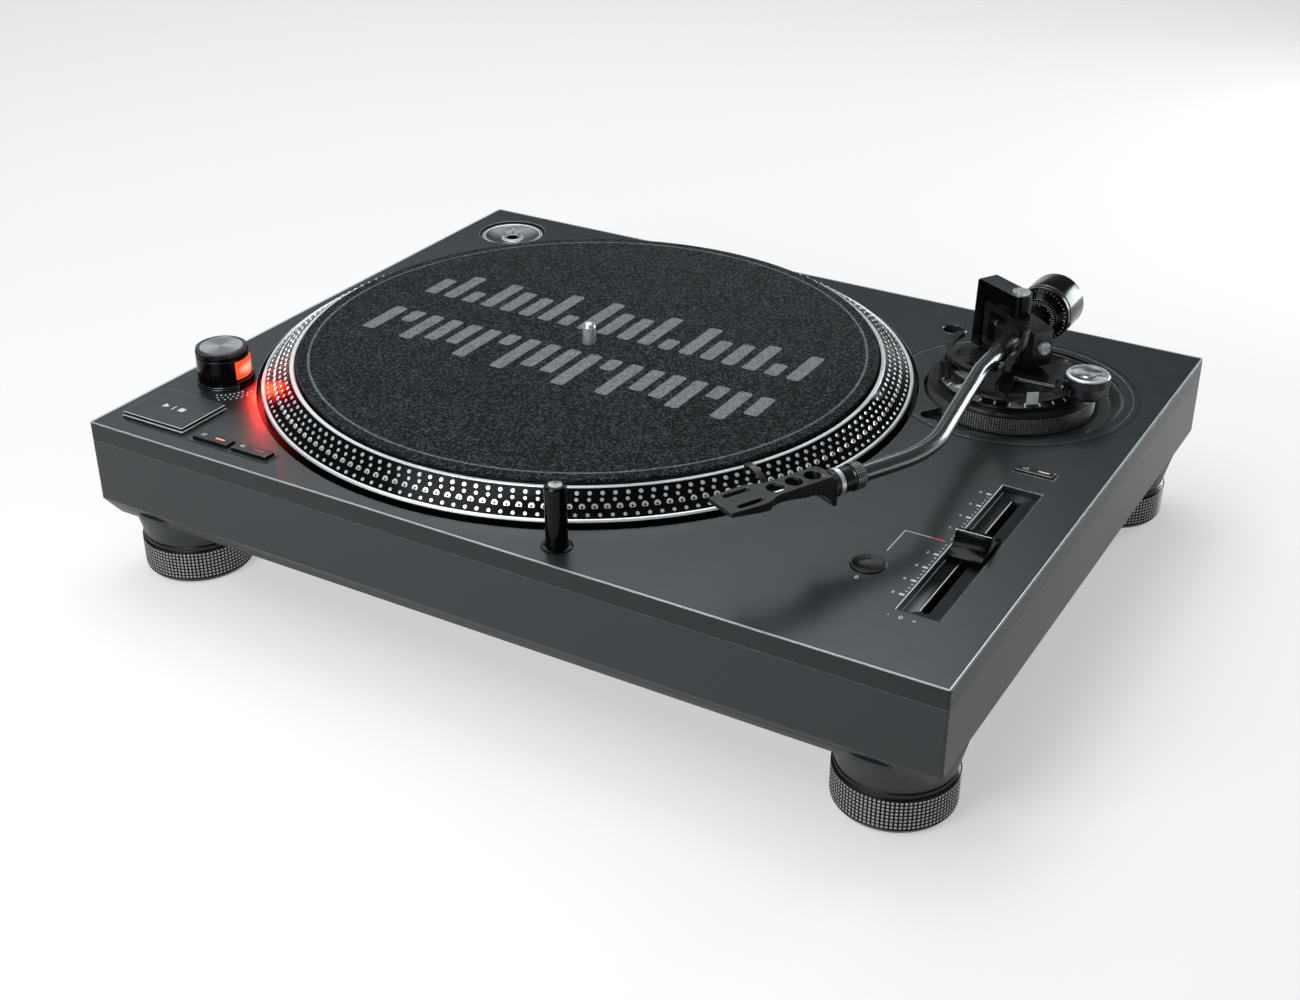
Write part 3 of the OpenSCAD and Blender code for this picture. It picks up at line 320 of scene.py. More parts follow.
def characters(bm, words, size, matrix):
    """Plain characters as a thin closed mesh, centred on the matrix. The size is in millimetres."""
    curve = bpy.data.curves.new("characters", "FONT")
    curve.body = words
    curve.size = size * MM
    curve.extrude = PRINT_THICK * MM / 2
    curve.align_x = "CENTER"
    curve.align_y = "CENTER"
    text = bpy.data.objects.new("characters", curve)
    bpy.context.scene.collection.objects.link(text)
    mesh = bpy.data.meshes.new_from_object(text.evaluated_get(bpy.context.evaluated_depsgraph_get()))
    mesh.transform(matrix)
    bm.from_mesh(mesh)
    bpy.data.objects.remove(text)
    bpy.data.curves.remove(curve)
    bpy.data.meshes.remove(mesh)


# ---------- finishes ----------


class Nodes:
    """A shader's tree that is built up node by node."""

    def __init__(self, tree):
        self.tree = tree

    def node(self, kind, inputs=None, **settings):
        made = self.tree.nodes.new("ShaderNode" + kind)
        for name, value in settings.items():
            setattr(made, name, value)
        for name, value in (inputs or {}).items():
            if isinstance(value, bpy.types.NodeSocket):
                self.tree.links.new(value, made.inputs[name])
            else:
                made.inputs[name].default_value = value
        return made

    def spread(self, value, low, high, to_low=0.0, to_high=1.0):
        """Maps the stretch from low to high onto another stretch."""
        made = self.node("MapRange", {"Value": value, "From Min": low, "From Max": high,
                                      "To Min": to_low, "To Max": to_high})
        return made.outputs["Result"]

    def math(self, operation, first, second=0.0):
        return self.node("Math", {0: first, 1: second}, operation=operation).outputs[0]

    def seen(self, mirrored=1.0):
        """One where the camera looks, a share of it where gloss and glass look, and otherwise nothing."""
        rays = self.node("LightPath").outputs
        shown = self.math("MAXIMUM", rays["Is Glossy Ray"], rays["Is Transmission Ray"])
        return self.math("MAXIMUM", rays["Is Camera Ray"], self.math("MULTIPLY", shown, mirrored))


class Finish(Nodes):
    """A Principled material. Sizes are in millimetres."""

    def __init__(self, name, colour, roughness, metallic=0.0, **sockets):
        self.material = bpy.data.materials.new(name)
        self.material.use_nodes = True
        super().__init__(self.material.node_tree)
        self.shader = self.tree.nodes["Principled BSDF"]
        self.shader.inputs["Base Color"].default_value = (*colour, 1)
        self.shader.inputs["Roughness"].default_value = roughness
        self.shader.inputs["Metallic"].default_value = metallic
        for socket, value in sockets.items():
            self.shader.inputs[socket.replace("_", " ")].default_value = value

    def place(self, centre=(0, 0, 0)):
        """Object coordinates counted from a centre."""
        coords = self.node("TexCoord").outputs["Object"]
        return self.node("VectorMath", {0: coords, 1: centre}, operation="SUBTRACT").outputs[0]

    def noise(self, grain, detail=3.0):
        """Noise whose spots are about a grain wide."""
        made = self.node("TexNoise", {"Vector": self.place(), "Scale": 1 / (grain * MM), "Detail": detail})
        return made.outputs["Fac"]

    def grains(self, size):
        """Small cells that each have a shade of their own."""
        made = self.node("TexVoronoi", {"Vector": self.place(), "Scale": 1 / (size * MM)})
        return made.outputs["Color"]

    def radius(self, centre):
        """The distance from an upright axis."""
        flat = self.node("VectorMath", {0: self.place(centre), 1: (1, 1, 0)}, operation="MULTIPLY").outputs[0]
        return self.node("VectorMath", {0: flat}, operation="LENGTH").outputs["Value"]

    def mix(self, share, first, second):
        """Mixes two colours."""
        made = self.node("Mix", {"Factor": share}, data_type="RGBA")
        for socket, colour in ((made.inputs[6], first), (made.inputs[7], second)):
            if isinstance(colour, bpy.types.NodeSocket):
                self.tree.links.new(colour, socket)
            else:
                socket.default_value = (*colour, 1)
        return made.outputs[2]

    def feed(self, socket, value):
        self.tree.links.new(value, self.shader.inputs[socket])
        return self

    def spun(self, centre):
        """Stretches the highlights as turned metal does, round an upright axis."""
        across = self.node("VectorMath", {0: (0, 0, 1), 1: self.place(centre)}, operation="CROSS_PRODUCT")
        self.shader.inputs["Anisotropic"].default_value = 0.8
        return self.feed("Tangent", across.outputs[0])

    def bump(self, height, depth, strength):
        """Raises the surface by a height map."""
        made = self.node("Bump", {"Height": height, "Distance": depth * MM, "Strength": strength})
        return self.feed("Normal", made.outputs[0])

    def grained(self, grain, depth, strength, detail=3.0):
        """Raises the surface by fine noise."""
        return self.bump(self.noise(grain, detail), depth, strength)

    def patchy(self, grain, low, high):
        """Lets the roughness drift from low to high in patches about a grain wide."""
        return self.feed("Roughness", self.spread(self.noise(grain), *NOISE_SPAN, low, high))


def finish(make):
    """Makes a finish the first time that it is asked for, and finds it again after that."""

    def found(*values):
        name = "_".join([make.__name__, *(f"{value:.3f}" for value in values)])
        return bpy.data.materials.get(name) or make(name, *values).material

    return found


def look():
    return bpy.context.scene.turntable


@finish
def powder_coat(name):
    """The deck's fine satin paint."""
    base = Vector(look().deck_colour)
    made = Finish(name, base, 0.38, IOR=1.5)
    grain = made.noise(0.35, 2.0)
    made.feed("Base Color", made.mix(made.spread(grain, *NOISE_SPAN), base * 0.88, base * 1.12))
    made.patchy(6.0, 0.29, 0.35)
    return made.bump(grain, 0.03, 0.25)


@finish
def coated_side(name):
    """The same paint on the plate's turned-down sides, a little flatter."""
    base = Vector(look().deck_colour)
    return Finish(name, base * 1.1, 0.42, Specular_IOR_Level=0.3).grained(0.35, 0.03, 0.25, 2.0)


@finish
def moulded_case(name):
    """The cabinet's slightly coarser plastic."""
    base = Vector(look().cabinet_colour)
    made = Finish(name, base, 0.42, Specular_IOR_Level=0.4)
    grain = made.noise(0.5, 3.0)
    made.feed("Base Color", made.mix(made.spread(grain, *NOISE_SPAN), base * 0.92, base * 1.08))
    return made.bump(grain, 0.05, 0.3)


@finish
def satin_black(name):
    return Finish(name, (0.006, 0.006, 0.0065), 0.27, Specular_IOR_Level=0.48).patchy(5.0, 0.24, 0.31)


@finish
def dull_black(name):
    """The insides of wells and recesses, and the painted shadow ring round the arm panel."""
    return Finish(name, (0.004, 0.004, 0.0045), 0.6, Specular_IOR_Level=0.2).grained(0.4, 0.03, 0.3)


@finish
def jet_black(name):
    """The deepest black, for what shows only thin streaks of light."""
    return Finish(name, (0.002, 0.002, 0.0022), 0.16, Specular_IOR_Level=0.13).patchy(4.0, 0.13, 0.19)


@finish
def gloss_black(name):
    return Finish(name, (0.003, 0.003, 0.0035), 0.14, Specular_IOR_Level=0.26).patchy(4.0, 0.1, 0.18)


@finish
def worn_edge(name):
    """A pale colour for rounded edges and edge lines, a painted highlight where the edges would catch the light."""
    return Finish(name, (0.85, 0.87, 0.88), 0.34, 0.35).patchy(2.0, 0.3, 0.4)


@finish
def black_edge(name):
    """The rounded edge of a glossy black part, painted paler grey as a highlight."""
    return Finish(name, (0.16, 0.16, 0.165), 0.24, 0.7).patchy(2.0, 0.18, 0.28)


@finish
def arm_tube(name):
    """The tube's smoke-dark plating, which shows long streaks of light."""
    return Finish(name, (0.2, 0.205, 0.21), 0.24, 0.95).patchy(30.0, 0.22, 0.26)


@finish
def knurled_black(name):
    """Black anodised metal."""
    return Finish(name, (0.022, 0.022, 0.024), 0.25, 0.6).patchy(6.0, 0.22, 0.3)


@finish
def cut_squares(name):
    """The knurl's square faces, painted paler than the grooves as a highlight."""
    return Finish(name, (0.42, 0.42, 0.42), 0.34, 0.6).patchy(3.0, 0.28, 0.38)


@finish
def dark_metal(name):
    return Finish(name, (0.09, 0.09, 0.095), 0.34, 0.9).grained(0.2, 0.006, 0.3, 2.0)


@finish
def polished(name):
    return Finish(name, (0.86, 0.86, 0.87), 0.28, 0.6).patchy(20.0, 0.24, 0.32)


@finish
def bright_steel(name):
    return Finish(name, (0.7, 0.7, 0.71), 0.25, 0.75).patchy(1.5, 0.18, 0.34)


@finish
def turned_face(name, x, y, shade):
    """A metal face with the fine rings that a lathe leaves round its middle."""
    made = Finish(name, (shade, shade, shade * 1.03), 0.3, 1.0)
    rings = made.math("SINE", made.math("MULTIPLY", made.radius((x, y, 0)), FULL_TURN / (0.9 * MM)))
    made.feed("Roughness", made.spread(rings, -1.0, 1.0, 0.24, 0.34))
    return made.spun((x, y, 0))


@finish
def printed(name, red, green, blue):
    return Finish(name, (red, green, blue), 0.5).patchy(0.8, 0.42, 0.6)


@finish
def mat_cloth(name):
    """Dark felt with pale flecks and one printed ring."""
    base = Vector(look().mat_colour)
    made = Finish(name, base, 0.95, Specular_IOR_Level=0.15, Sheen_Weight=0.02, Sheen_Roughness=0.6)
    flecks = made.spread(made.grains(0.85), 0.5, 0.95)
    dark = made.mix(flecks, base * 0.15, base * 4.6)
    from_ring = made.math("ABSOLUTE", made.math("SUBTRACT", made.radius(PLATTER), 144 * MM))
    ring = made.spread(from_ring, 0.45 * MM, 0.75 * MM, 1.0, 0.0)
    grey = Vector(look().print_colour)
    made.feed("Base Color", made.mix(ring, dark, made.mix(flecks, grey * 0.5, grey * 1.1)))
    return made.grained(0.7, 0.25, 0.6, 4.0)


@finish
def mat_ink(name):
    """The grey print on the felt, which shows the felt's flecks."""
    grey = Vector(look().print_colour)
    made = Finish(name, grey, 0.9, Specular_IOR_Level=0.2, Sheen_Weight=0.04)
    flecks = made.spread(made.grains(0.85), 0.15, 0.75)
    made.feed("Base Color", made.mix(flecks, grey * 0.5, grey * 1.1))
    return made.grained(0.7, 0.2, 0.6, 4.0)


@finish
def lit_window(name, x, y, z):
    """The strobe's red window, hotter in its middle."""
    glow = Vector(look().glow_colour)
    made = Finish(name, glow, 0.3)
    flat = made.node("VectorMath", {0: made.place((x, y, z)), 1: (0.5, 0.5, 1)}, operation="MULTIPLY").outputs[0]
    far = made.node("VectorMath", {0: flat}, operation="LENGTH").outputs["Value"]
    hot = made.spread(far, 1.2 * MM, 3.6 * MM, 1.0, 0.0)
    made.feed("Emission Color", made.mix(hot, glow, (1.0, 0.56, 0.44)))
    made.shader.inputs["Emission Strength"].default_value = 1.0
    return made


@finish
def lit_line(name, strength):
    made = Finish(name, (0.8, 0.2, 0.15), 0.4)
    made.shader.inputs["Emission Color"].default_value = (1.0, 0.12, 0.08, 1)
    made.shader.inputs["Emission Strength"].default_value = strength
    return made.patchy(0.5, 0.35, 0.5)


@finish
def sole_rubber(name):
    return Finish(name, (0.02, 0.02, 0.021), 0.85).grained(0.5, 0.05, 0.5)


@finish
def circuit_board(name):
    made = Finish(name, (0.02, 0.09, 0.035), 0.4)
    made.feed("Base Color", made.mix(made.spread(made.noise(5.0), 0.45, 0.55), (0.015, 0.075, 0.03),
                                     (0.03, 0.11, 0.045)))
    return made


@finish
def copper_wire(name):
    return Finish(name, (0.62, 0.3, 0.13), 0.35, 1.0).grained(0.3, 0.05, 0.6, 1.0)


@finish
def gold_plate(name):
    return Finish(name, (0.78, 0.55, 0.25), 0.22, 1.0).patchy(1.0, 0.18, 0.3)


@finish
def ferrite(name):
    return Finish(name, (0.03, 0.03, 0.032), 0.6).grained(0.4, 0.04, 0.5)


@finish
def pale_floor(name):
    """A matt floor that the camera sees lifted to the background's paleness, most of all far from the lamps."""
    made = Finish(name, (0.5, 0.47, 0.46), 0.95, Specular_IOR_Level=0.1)
    made.shader.inputs["Emission Color"].default_value = (1, 1, 1, 1)
    lift = made.spread(made.radius((-0.4, 0.6, 0)), 1.3, 3.8, look().floor_lift, BACKGROUND)
    return made.feed("Emission Strength", made.math("MULTIPLY", made.seen(), lift))


# ---------- what a user may change ----------


class TurntableLook(bpy.types.PropertyGroup):
    """The colours and fine sizes of the turntable's looks."""

    deck_colour: FloatVectorProperty(name="Deck", description="Colour of the painted top plate", subtype="COLOR",
                                     size=3, min=0.0, max=1.0, default=(0.013, 0.0155, 0.0165))
    cabinet_colour: FloatVectorProperty(name="Cabinet", description="Colour of the cabinet below the top plate",
                                        subtype="COLOR", size=3, min=0.0, max=1.0, default=(0.021, 0.0245, 0.027))
    mat_colour: FloatVectorProperty(name="Mat", description="Colour of the felt", subtype="COLOR", size=3,
                                    min=0.0, max=1.0, default=(0.0142, 0.0155, 0.0165))
    print_colour: FloatVectorProperty(name="Print", description="Colour of the print on the felt",
                                      subtype="COLOR", size=3, min=0.0, max=1.0, default=(0.19, 0.2, 0.205))
    glow_colour: FloatVectorProperty(name="Strobe", description="Colour of the strobe's light", subtype="COLOR",
                                     size=3, min=0.0, max=1.0, default=(1.0, 0.075, 0.01))
    dots: IntVectorProperty(name="Dots", description="Dots in each row of the rim, from the foot up", size=4,
                            min=20, max=400, default=(186, 180, 174, 170))
    knurl_pitch: FloatProperty(name="Knurl", description="Distance between the squares of the feet's knurl",
                               subtype="DISTANCE", unit="LENGTH", default=1.9 * MM, min=1 * MM, max=6 * MM)
    key_power: FloatProperty(name="Key light", description="Power of the large light over the deck",
                             subtype="POWER", default=19.0, min=0.0)
    dome: FloatProperty(name="Dome", description="Strength of the dim light from all round", default=0.11,
                        min=0.0, max=2.0)
    floor_lift: FloatProperty(name="Floor", description="Paleness that the floor is lifted by behind the turntable",
                              default=0.45, min=0.0, max=1.0)


class Builder:
    """What every operator here shares."""

    bl_options = {"REGISTER", "UNDO"}


# ---------- the deck ----------


class TURNTABLE_OT_deck(Builder, bpy.types.Operator):
    """Finish the top plate, the cabinet and what is let into its back"""

    bl_idname = "turntable.deck"
    bl_label = "Deck and Cabinet"

    def execute(self, context):
        # The plate's rounded edges take the pale edge finish, a painted highlight.
        soften("top_plate", [powder_coat(), coated_side()], 0.45, second=lambda face: abs(face.normal.z) < 0.3,
               edge=worn_edge())
        # Thin pale bars just inside the plate's four top edges, painted highlight lines along the edges.
        size = (DECK_HIGH - DECK_LOW) / MM
        inset = 0.75 * MM
        bars = [(0, y, DECK_TOP, size.x - 1.2, 0.3) for y in (DECK_LOW.y + inset, DECK_HIGH.y - inset)]
        bars += [(x, 0, DECK_TOP, 0.45, size.y - 2.2) for x in (DECK_LOW.x + inset, DECK_HIGH.x - inset)]
        add_bars("deck_edge", bars, "deck", worn_edge())
        soften("base_cabinet", moulded_case(), 0.3)
        for node in ("bottom_cover", "platter_well", "arm_cup", "hinge_sockets", "mains_inlet", "adapter_cup"):
            soften(node, dull_black(), 0.15)
        soften("phono_jacks", gold_plate(), 0.15)
        soften("ground_terminal", bright_steel(), 0.2)
        for node in ("power_supply_board", "control_board", "switch_board", "pitch_board"):
            paint(node, circuit_board())
        paint("motor_coils", copper_wire())
        paint("rotor_magnet", ferrite())
        paint("bearing_housing", gold_plate())
        soften("pitch_fader", dark_metal(), 0.2)
        return {"FINISHED"}


# ---------- the platter ----------

RIM = reach("platter") / MM + 1.6
DOT_SLOPE = ((RIM - 1.9, 2.9), (RIM - 15.0, 11.5))
RIM_POINTS = 256
DOT_ROWS = ((0.12, 1.9, False), (0.38, 3.2, True), (0.61, 1.9, False), (0.82, 2.2, False))
DOTS_FROM = -62.0


def dot(bm, row, size, dimple):
    """One polished dot on the slope of the rim, where the row is counted from the foot as a share."""
    (r_low, z_low), (r_high, z_high) = DOT_SLOPE
    r = r_low + (r_high - r_low) * row
    z = z_low + (z_high - z_low) * row
    lean = math.atan2(z_high - z_low, r_low - r_high)
    place = shift(r, 0, z) @ Matrix.Rotation(math.pi / 2 - lean, 4, "Y")
    made = bmesh.ops.create_circle(bm, segments=10, radius=size / 2 * MM)["verts"]
    edges = edges_of(made)
    bmesh.ops.translate(bm, verts=made, vec=(0, 0, -0.1 * MM))
    for share, height in [(0.9, 0.3), (0.42, 0.3), (0.3, -0.2)] if dimple else [(0.88, 0.3)]:
        geom = bmesh.ops.extrude_edge_only(bm, edges=edges)["geom"]
        edges = edges_in(geom)
        ring = verts_in(geom)
        for vert in ring:
            flat = vert.co.xy.normalized() * size / 2 * share * MM
            vert.co = (flat.x, flat.y, height * MM)
        made += ring
    bmesh.ops.edgeloop_fill(bm, edges=edges)
    bmesh.ops.transform(bm, matrix=place, verts=made)
    return made


class TURNTABLE_OT_platter(Builder, bpy.types.Operator):
    """Turn the platter's rim and set its polished dots"""

    bl_idname = "turntable.platter"
    bl_label = "Platter and Dots"

    def execute(self, context):
        bm = bmesh.new()
        lathe(bm, [(4, 8.2), (RIM - 17, 8.2), (RIM - 9, 4.4), (RIM - 9, 0.9), (RIM - 0.9, 0.9),
                   (RIM - 0.3, 1.2), (RIM, 1.5), (RIM, 2.1), (RIM - 0.2, 2.7), (RIM - 0.7, 3.1),
                   (RIM - 1.3, 3.15), (RIM - 1.9, 2.9), (RIM - 15, 11.4), (RIM - 15.3, 11.75),
                   (RIM - 16.9, 11.75), (RIM - 17.2, 11.5), (RIM - 17.3, 10.6), (RIM - 17.9, 10.6),
                   (RIM - 18.1, 12.15), (4, 12.15), (4, 8.2)], RIM_POINTS)
        for face in bm.faces:
            centre = face.calc_center_median() / MM
            r, z = centre.xy.length, centre.z
            if RIM - 17.25 < r < RIM - 15 or (r > RIM - 1.7 and z > 1.8):
                face.material_index = 1
        place = Matrix.Translation(PLATTER)
        piece = add_piece("platter_rim", bm, "platter", [jet_black(), polished()], 25, place)
        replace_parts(piece, "platter")

        bm = bmesh.new()
        for count, (row, size, dimple) in zip(look().dots, DOT_ROWS):
            first = dot(bm, row, size, dimple)
            bmesh.ops.transform(bm, matrix=turn(DOTS_FROM + (180 / count if dimple else 0)), verts=first)
            faces = list({face for vert in first for face in vert.link_faces})
            bmesh.ops.spin(bm, geom=faces, cent=(0, 0, 0), axis=(0, 0, 1), steps=count - 1,
                           angle=FULL_TURN * (count - 1) / count, use_duplicate=True)
        add_piece("rim_dots", bm, "platter", polished(), 30, place)

        r, head = 3.575, 25.2
        post = turned("spindle_post", [(0, -2), (12, -2), (12, 2), (r, 2), (r, 22.4), (r - 0.25, 23.4),
                                       (r - 0.9, 24.4), (r - 2, 25.0), (0, head)],
                      about(PLATTER, z=top("spindle") - head * MM), "platter", bright_steel(), 48)
        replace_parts(post, "spindle")
        return {"FINISHED"}


class TURNTABLE_OT_mat(Builder, bpy.types.Operator):
    """Cut the felt mat and print its pattern of level bars"""

    bl_idname = "turntable.mat"
    bl_label = "Mat"

    def execute(self, context):
        edge = reach("slipmat") / MM + 2.2
        hole = 3.9
        foot, head = heights("slipmat")
        mat = turned("mat", [(hole, foot), (edge - 0.3, foot), (edge, foot + 0.4), (edge, head - 0.6),
                             (edge - 0.25, head - 0.15), (edge - 0.8, head), (hole, head), (hole, foot)],
                     Matrix.Translation(PLATTER), "mat", mat_cloth(), RIM_POINTS)
        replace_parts(mat, "slipmat")
        bm = bmesh.new()
        apart, wide, thick = 12.4, 7.6, 0.12
        for side in (0, 180):
            for i in range(19):
                tall = 12 + 30 * abs(math.sin(i * 1.27 + 0.5)) * (1 - abs(i - 9) / 26)
                place = about(PLATTER, side, top("slipmat")) @ shift((i - 9) * apart, 12 + tall / 2)
                size = Matrix.Diagonal((wide * MM, tall * MM, thick * MM, 1))
                made = bmesh.ops.create_cube(bm, size=1.0, matrix=place @ size)["verts"]
                upright = [edge for edge in edges_of(made)
                           if abs(edge.verts[0].co.z - edge.verts[1].co.z) > 1e-6]
                round_edges(bm, upright, 1.8, 4)
        add_piece("mat_print", bm, "mat", mat_ink())
        return {"FINISHED"}


# ---------- the controls ----------


class TURNTABLE_OT_buttons(Builder, bpy.types.Operator):
    """Finish the start button, the speed buttons and the range button with their plain marks"""

    bl_idname = "turntable.buttons"
    bl_label = "Buttons"

    def execute(self, context):
        # The button's rounded edges take the pale edge finish, a painted highlight.
        soften("start_stop_button", powder_coat(), 0.35, edge=worn_edge())
        soften("button_bezels", gloss_black(), 0.15, edge=black_edge())
        for node in ("speed_33_button", "speed_45_button", "double_button"):
            soften(node, satin_black(), 0.25, edge=black_edge())
        reset = middle("reset_button")
        r = reach("reset_button") / MM
        dish = turned("reset_dish", [(0, -5), (r - 0.2, -5), (r, -4.8), (r, 0.5), (r - 0.25, 0.85), (r - 0.7, 1.0),
                                     (r - 1.2, 0.9), (r - 2.4, 0.45), (r - 4, 0.2), (r - 6, 0.08), (0, 0.05), (0, -5)],
                      about(reset, z=DECK_TOP), "reset", turned_face(reset.x, reset.y, 0.035), 64)
        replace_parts(dish, "reset_button")

        white = printed(0.62, 0.63, 0.64)
        bm = bmesh.new()
        start = middle("start_stop_button")
        z = top("start_stop_button")
        made = bmesh.ops.create_circle(bm, cap_ends=True, segments=3, radius=2.3 * MM)["verts"]
        bmesh.ops.rotate(bm, verts=made, cent=(0, 0, 0), matrix=turn(-90).to_3x3())
        lifted = bmesh.ops.extrude_face_region(bm, geom=bm.faces[:])["geom"]
        bmesh.ops.translate(bm, verts=verts_in(lifted), vec=(0, 0, PRINT_THICK * MM))
        bmesh.ops.translate(bm, verts=bm.verts[:], vec=(start.x - 5.4 * MM, start.y, z))
        print_bar(bm, start.x, start.y, z, 0.6, 4.2)
        print_bar(bm, start.x + 5.2 * MM, start.y, z, 3.4, 3.4)
        add_piece("start_stop_mark", bm, "start_stop", white)

        for node, body, end, words, left, up, thick, line in (
            ("speed_33_button", "speed_33", "_number", "33", 6.2, 0.2, 0.9, lit_line(1.6)),
            ("speed_45_button", "speed_45", "_number", "45", 6.2, 0.2, 0.9, printed(0.22, 0.11, 0.1)),
            ("double_button", "range_button", "_mark", "x2", 4.6, 0.0, 1.1, printed(0.78, 0.58, 0.4)),
        ):
            x, y, z = middle(node).x, middle(node).y, top(node)
            bm = bmesh.new()
            characters(bm, words, 3.0, Matrix.Translation((x - left * MM, y + up * MM, z)))
            add_piece(node + end, bm, body, white)
            add_bars(node + "_line", [(x + 4.2 * MM, y, z, 5.4, thick)], body, line)
        return {"FINISHED"}


class TURNTABLE_OT_tower(Builder, bpy.types.Operator):
    """Turn the power knob over the strobe and light its window"""

    bl_idname = "turntable.tower"
    bl_label = "Power Knob and Strobe"

    def execute(self, context):
        soften("strobe_housing", jet_black(), 0.2, edge=black_edge())
        knob = middle("power_knob")
        r = reach("power_knob") / MM
        head = heights("power_knob")[1]
        base = head - 4
        bm = bmesh.new()
        lathe(bm, [(0, base), (r - 0.4, base), (r, base + 0.3), (r, head - 2.1), (r - 0.3, head - 1.9),
                   (r - 0.8, head - 1.8), (r - 0.8, head - 0.4), (r - 1.3, head), (r - 2.2, head),
                   (r - 2.5, head - 0.35), (0, head - 0.4)], 120)
        ridges(bm, r - 0.35, head - 1.8, head - 0.35, 110, 0.3)
        for face in bm.faces:
            centre = face.calc_center_median()
            if centre.z > (head - 1.85) * MM:
                face.material_index = 1 if centre.xy.length < (r - 2.3) * MM else 2
        finishes = [jet_black(), turned_face(knob.x, knob.y, 0.36), dark_metal()]
        piece = add_piece("power_knob_cap", bm, "power_switch", finishes, 30, about(knob, z=DECK_TOP))
        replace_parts(piece, "power_knob")

        window = middle("strobe_window")
        soften("strobe_window", lit_window(window.x, window.y, window.z), 0.1)
        outward = (window - knob).xy.normalized().to_3d()
        lamp = bpy.data.lights.new("strobe_glow", "AREA")
        lamp.size = 8 * MM
        lamp.color = (1.0, 0.01, 0.003)
        lamp.energy = 0.04
        glow = bpy.data.objects.new("strobe_glow", lamp)
        glow.location = window + outward * 6 * MM - Vector((0, 0, 2 * MM))
        glow.rotation_euler = (outward + Vector((0, 0, -0.5))).to_track_quat("-Z", "Y").to_euler()
        context.scene.collection.objects.link(glow)

        marks = []
        for row, (far, count) in enumerate(((17.5, 7), (20.5, 8), (23.0, 6))):
            for i in range(count):
                angle = -62 + row * 3 + i * 7.2
                x, y = (knob + turn(angle) @ Vector((far * MM, 0, 0))).xy
                marks.append((x, y, DECK_TOP, 0.9 if row else 1.3, 0.7, angle))
        add_bars("speed_marks", marks, "deck", printed(0.7, 0.7, 0.7))
        return {"FINISHED"}


class TURNTABLE_OT_lamp_and_sockets(Builder, bpy.types.Operator):
    """Finish the target light, the 45 adapter and the headshell socket"""

    bl_idname = "turntable.sockets"
    bl_label = "Target Light and Sockets"

    def execute(self, context):
        soften("light_post", jet_black(), 0.3)
        soften("light_collar", jet_black(), 0.15, edge=black_edge())
        post = middle("light_post")
        r = reach("light_post") / MM
        head = heights("light_post")[1]
        turned("light_post_tip", [(0, head - 0.9), (r - 0.5, head - 0.9), (r - 0.4, head - 0.5), (r - 0.9, head - 0.1),
                                  (r - 1.4, head - 0.02), (0, head - 0.15)], about(post, z=DECK_TOP), "target_light",
               turned_face(post.x, post.y, 0.4), 48)
        place = middle("adapter_45")
        # The adapter's rounded edges take the pale edge finish, a painted highlight.
        soften("adapter_45", turned_face(place.x, place.y, 0.16), 0.3, edge=worn_edge())
        soften("headshell_holder", gloss_black(), 0.2)
        return {"FINISHED"}


